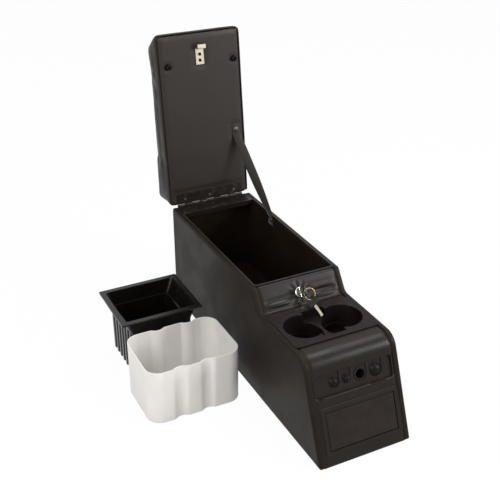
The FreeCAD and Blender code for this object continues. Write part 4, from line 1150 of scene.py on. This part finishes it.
class Fittings:
    """Every CAD node whose own shape shows."""

    WELD_REACH = 0.005
    BEVEL_ANGLE = math.radians(38.0)
    PLAN = (
        Dressing(Paint.SIDE_VINYL, ("rear_panel",), 0.8),
        Dressing(Paint.WELL, ("bulkhead", "well_floor"), 0.8),
        Dressing(Paint.BATTEN, ("base_battens",), 0.8),
        Dressing(Paint.PIPING, ("rim_trim", "rear_rail"), 0.3),
        Dressing(Paint.CUPS, ("cup_insert",), 1.0, 3),
        Dressing(Paint.PANEL, ("socket_panel", "fascia_frame"), 0.5, 3),
        Dressing(Paint.PLATE, ("blanking_plate",), 0.3),
        Dressing(Paint.CAPS, ("outlet_cap", "push_button", "lighter_knob"), 0.2),
        Dressing(Paint.SOCKETS, ("outlet_socket", "button_housing", "power_socket", "lighter_socket"), 0.25),
        Dressing(Paint.BRASS, ("power_contact",), 0.15),
        Dressing(Paint.CHROME, ("lock_housing", "lock_plug"), 0.2),
        Dressing(Paint.ZINC, ("lock_nut", "lock_cam", "cam_screw", "latch_catch"), 0.2),
        Dressing(Paint.DARK_STEEL, ("latch_screws",), 0.2),
        Dressing(Paint.SCREWS, ("hinge_screws_body", "hinge_screws_lid"), 0.12),
        Dressing(Paint.STRAP_SCREWS, ("strap_screw_lid", "strap_screw_wall"), 0.3),
        Dressing(Paint.HINGE, ("hinge_leaf_body", "hinge_leaf_lid", "hinge_pin"), 0.15),
        Dressing(Paint.KEY, ("lock_key_blade", "spare_key_blade"), 0.1),
        Dressing(Paint.KEY_HEAD, ("lock_key_head", "spare_key_head"), 0.6, 3),
        Dressing(Paint.RING, ("key_ring",), 0.15),
        Dressing(Paint.RUBBER, ("lid_bumpers",), 0.4),
        Dressing(Paint.BIN, ("storage_bin",), 0.7, 3),
        Dressing(Paint.LINER, ("bin_liner",), 0.8, 3),
    )

    def build(self) -> list[Object]:
        """Dress each node and soften its edges.

        Returns:
            The dressed nodes.
        """
        dressed = []
        for plan in self.PLAN:
            for name in plan.nodes:
                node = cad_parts[name]
                PAINT.coat(node, plan.finish)
                self.soften(node, plan)
                dressed.append(node)
        return dressed

    def soften(self, node: Object, plan: Dressing) -> None:
        """Add the modifiers that round a node's edges.

        Args:
            node: The CAD node.
            plan: Its dressing.
        """
        weld = node.modifiers.new("join_faces", "WELD")
        weld.merge_threshold = self.WELD_REACH * MM
        bevel = node.modifiers.new("soft_edges", "BEVEL")
        bevel.width = plan.edge * MM
        bevel.segments = plan.segments
        bevel.limit_method = "ANGLE"
        bevel.angle_limit = self.BEVEL_ANGLE
        bevel.harden_normals = True
        bevel.use_clamp_overlap = True


@dataclass(frozen=True)
class Lamp:
    """A square soft lamp: where it hangs and its side in metres, and its power in watts."""

    name: str
    place: Triple
    size: float
    power: float


@dataclass
class Studio:
    """Camera, floor, backdrop and soft lamps."""

    lens: float = 62.87
    sensor: float = 36.0
    clip: Pair = (0.05, 50.0)
    place: Triple = (-0.829, -1.4925, 1.221)
    right: Triple = (0.8933, -0.4495, 0.0)
    up: Triple = (0.2144, 0.4260, 0.8790)
    world_light: float = 0.42
    floor_glow: float = 0.97
    floor_half: float = 8.0
    floor_drop: float = 0.4
    floor_tones: tuple = ((243, 243, 243), (246, 246, 246))
    aim: Triple = (-0.05, 0.05, 0.2)
    lamps: tuple = (
        Lamp("key_lamp", (1.45, -1.5, 1.3), 0.7, 30.0),
        Lamp("top_lamp", (0.9, 0.1, 2.4), 1.0, 23.0),
        Lamp("fill_lamp", (-1.8, -0.9, 1.7), 1.6, 30.0),
    )

    def build(self) -> None:
        """Set the stage."""
        self.camera()
        self.floor()
        self.sky()
        for lamp in self.lamps:
            self.hang(lamp)
        bpy.context.scene.view_settings.view_transform = "Standard"

    def camera(self) -> None:
        """Stand the camera where the photograph was taken from."""
        right = Vector(self.right).normalized()
        up = Vector(self.up).normalized()
        back = right.cross(up).normalized()
        up = back.cross(right)
        turn = Matrix((right, up, back)).transposed()
        data = bpy.data.cameras.new("photo_camera")
        data.lens = self.lens
        data.sensor_width = self.sensor
        data.clip_start, data.clip_end = self.clip
        camera = bpy.data.objects.new("photo_camera", data)
        camera.matrix_world = Matrix.Translation(Vector(self.place)) @ turn.to_4x4()
        bpy.context.scene.collection.objects.link(camera)
        bpy.context.scene.camera = camera

    def seen(self, wiring: Wiring) -> NodeSocket:
        """One where the camera, or what it sees in gloss or glass, looks."""
        path = wiring.add("LightPath").outputs
        direct = wiring.calc("ADD", path["Is Camera Ray"], path["Is Glossy Ray"], True)
        return wiring.calc("ADD", direct, path["Is Transmission Ray"], True)

    def floor(self) -> None:
        """Lay a pale floor that keeps a soft shadow."""
        shape = bmesh.new()
        bmesh.ops.create_grid(shape, x_segments=1, y_segments=1, size=self.floor_half)
        floor = new_piece("studio_floor", shape)
        floor.data.transform(Matrix.Translation((0.0, 0.0, -self.floor_drop * MM)))
        made = bpy.data.materials.new("pale_floor")
        made.use_nodes = True
        wiring = Wiring(made.node_tree)
        made.node_tree.nodes.clear()
        where = wiring.add("TexCoord").outputs["Object"]
        cloud = wiring.span(wiring.noise(where, 3.0), 0.3, 0.7)
        tone = wiring.blend(cloud, *map(linear, self.floor_tones))
        matte = wiring.add("BsdfDiffuse", {"Color": tone}).outputs[0]
        glow = wiring.add("Emission", {"Strength": 1.0}).outputs[0]
        share = wiring.calc("MULTIPLY", self.seen(wiring), self.floor_glow)
        mix = wiring.add("MixShader", {"Fac": share, 1: matte, 2: glow})
        wiring.add("OutputMaterial", {"Surface": mix.outputs[0]})
        floor.data.materials.append(made)

    def sky(self) -> None:
        """Even light from all round, white where it is looked at."""
        world = bpy.data.worlds.new("studio_world")
        bpy.context.scene.world = world
        world.use_nodes = True
        wiring = Wiring(world.node_tree)
        back = world.node_tree.nodes["Background"]
        back.inputs["Color"].default_value = WHITE
        strength = wiring.span(self.seen(wiring), 0.0, 1.0, self.world_light, 1.0)
        wiring.join(strength, back.inputs["Strength"])

    def hang(self, lamp: Lamp) -> None:
        """Hang a lamp that faces the object.

        Args:
            lamp: Which lamp.
        """
        data = bpy.data.lights.new(lamp.name, "AREA")
        data.shape = "SQUARE"
        data.size = lamp.size
        data.energy = lamp.power
        hung = bpy.data.objects.new(lamp.name, data)
        hung.location = lamp.place
        way = Vector(self.aim) - Vector(lamp.place)
        hung.rotation_euler = way.to_track_quat("-Z", "Y").to_euler()
        bpy.context.scene.collection.objects.link(hung)


def main() -> None:
    """Build the scene piece by piece."""
    logging.basicConfig(level=logging.INFO, format="%(name)s: %(message)s")
    Studio().build()
    sides = [SidePanel(side) for side in Side]
    for builder in (*sides, FrontCover(), Lid(), LidStrap(), Fittings()):
        for piece in builder.build():
            LOG.info("%s: %d faces", piece.name, len(piece.data.polygons))


if __name__ == "__main__":
    main()
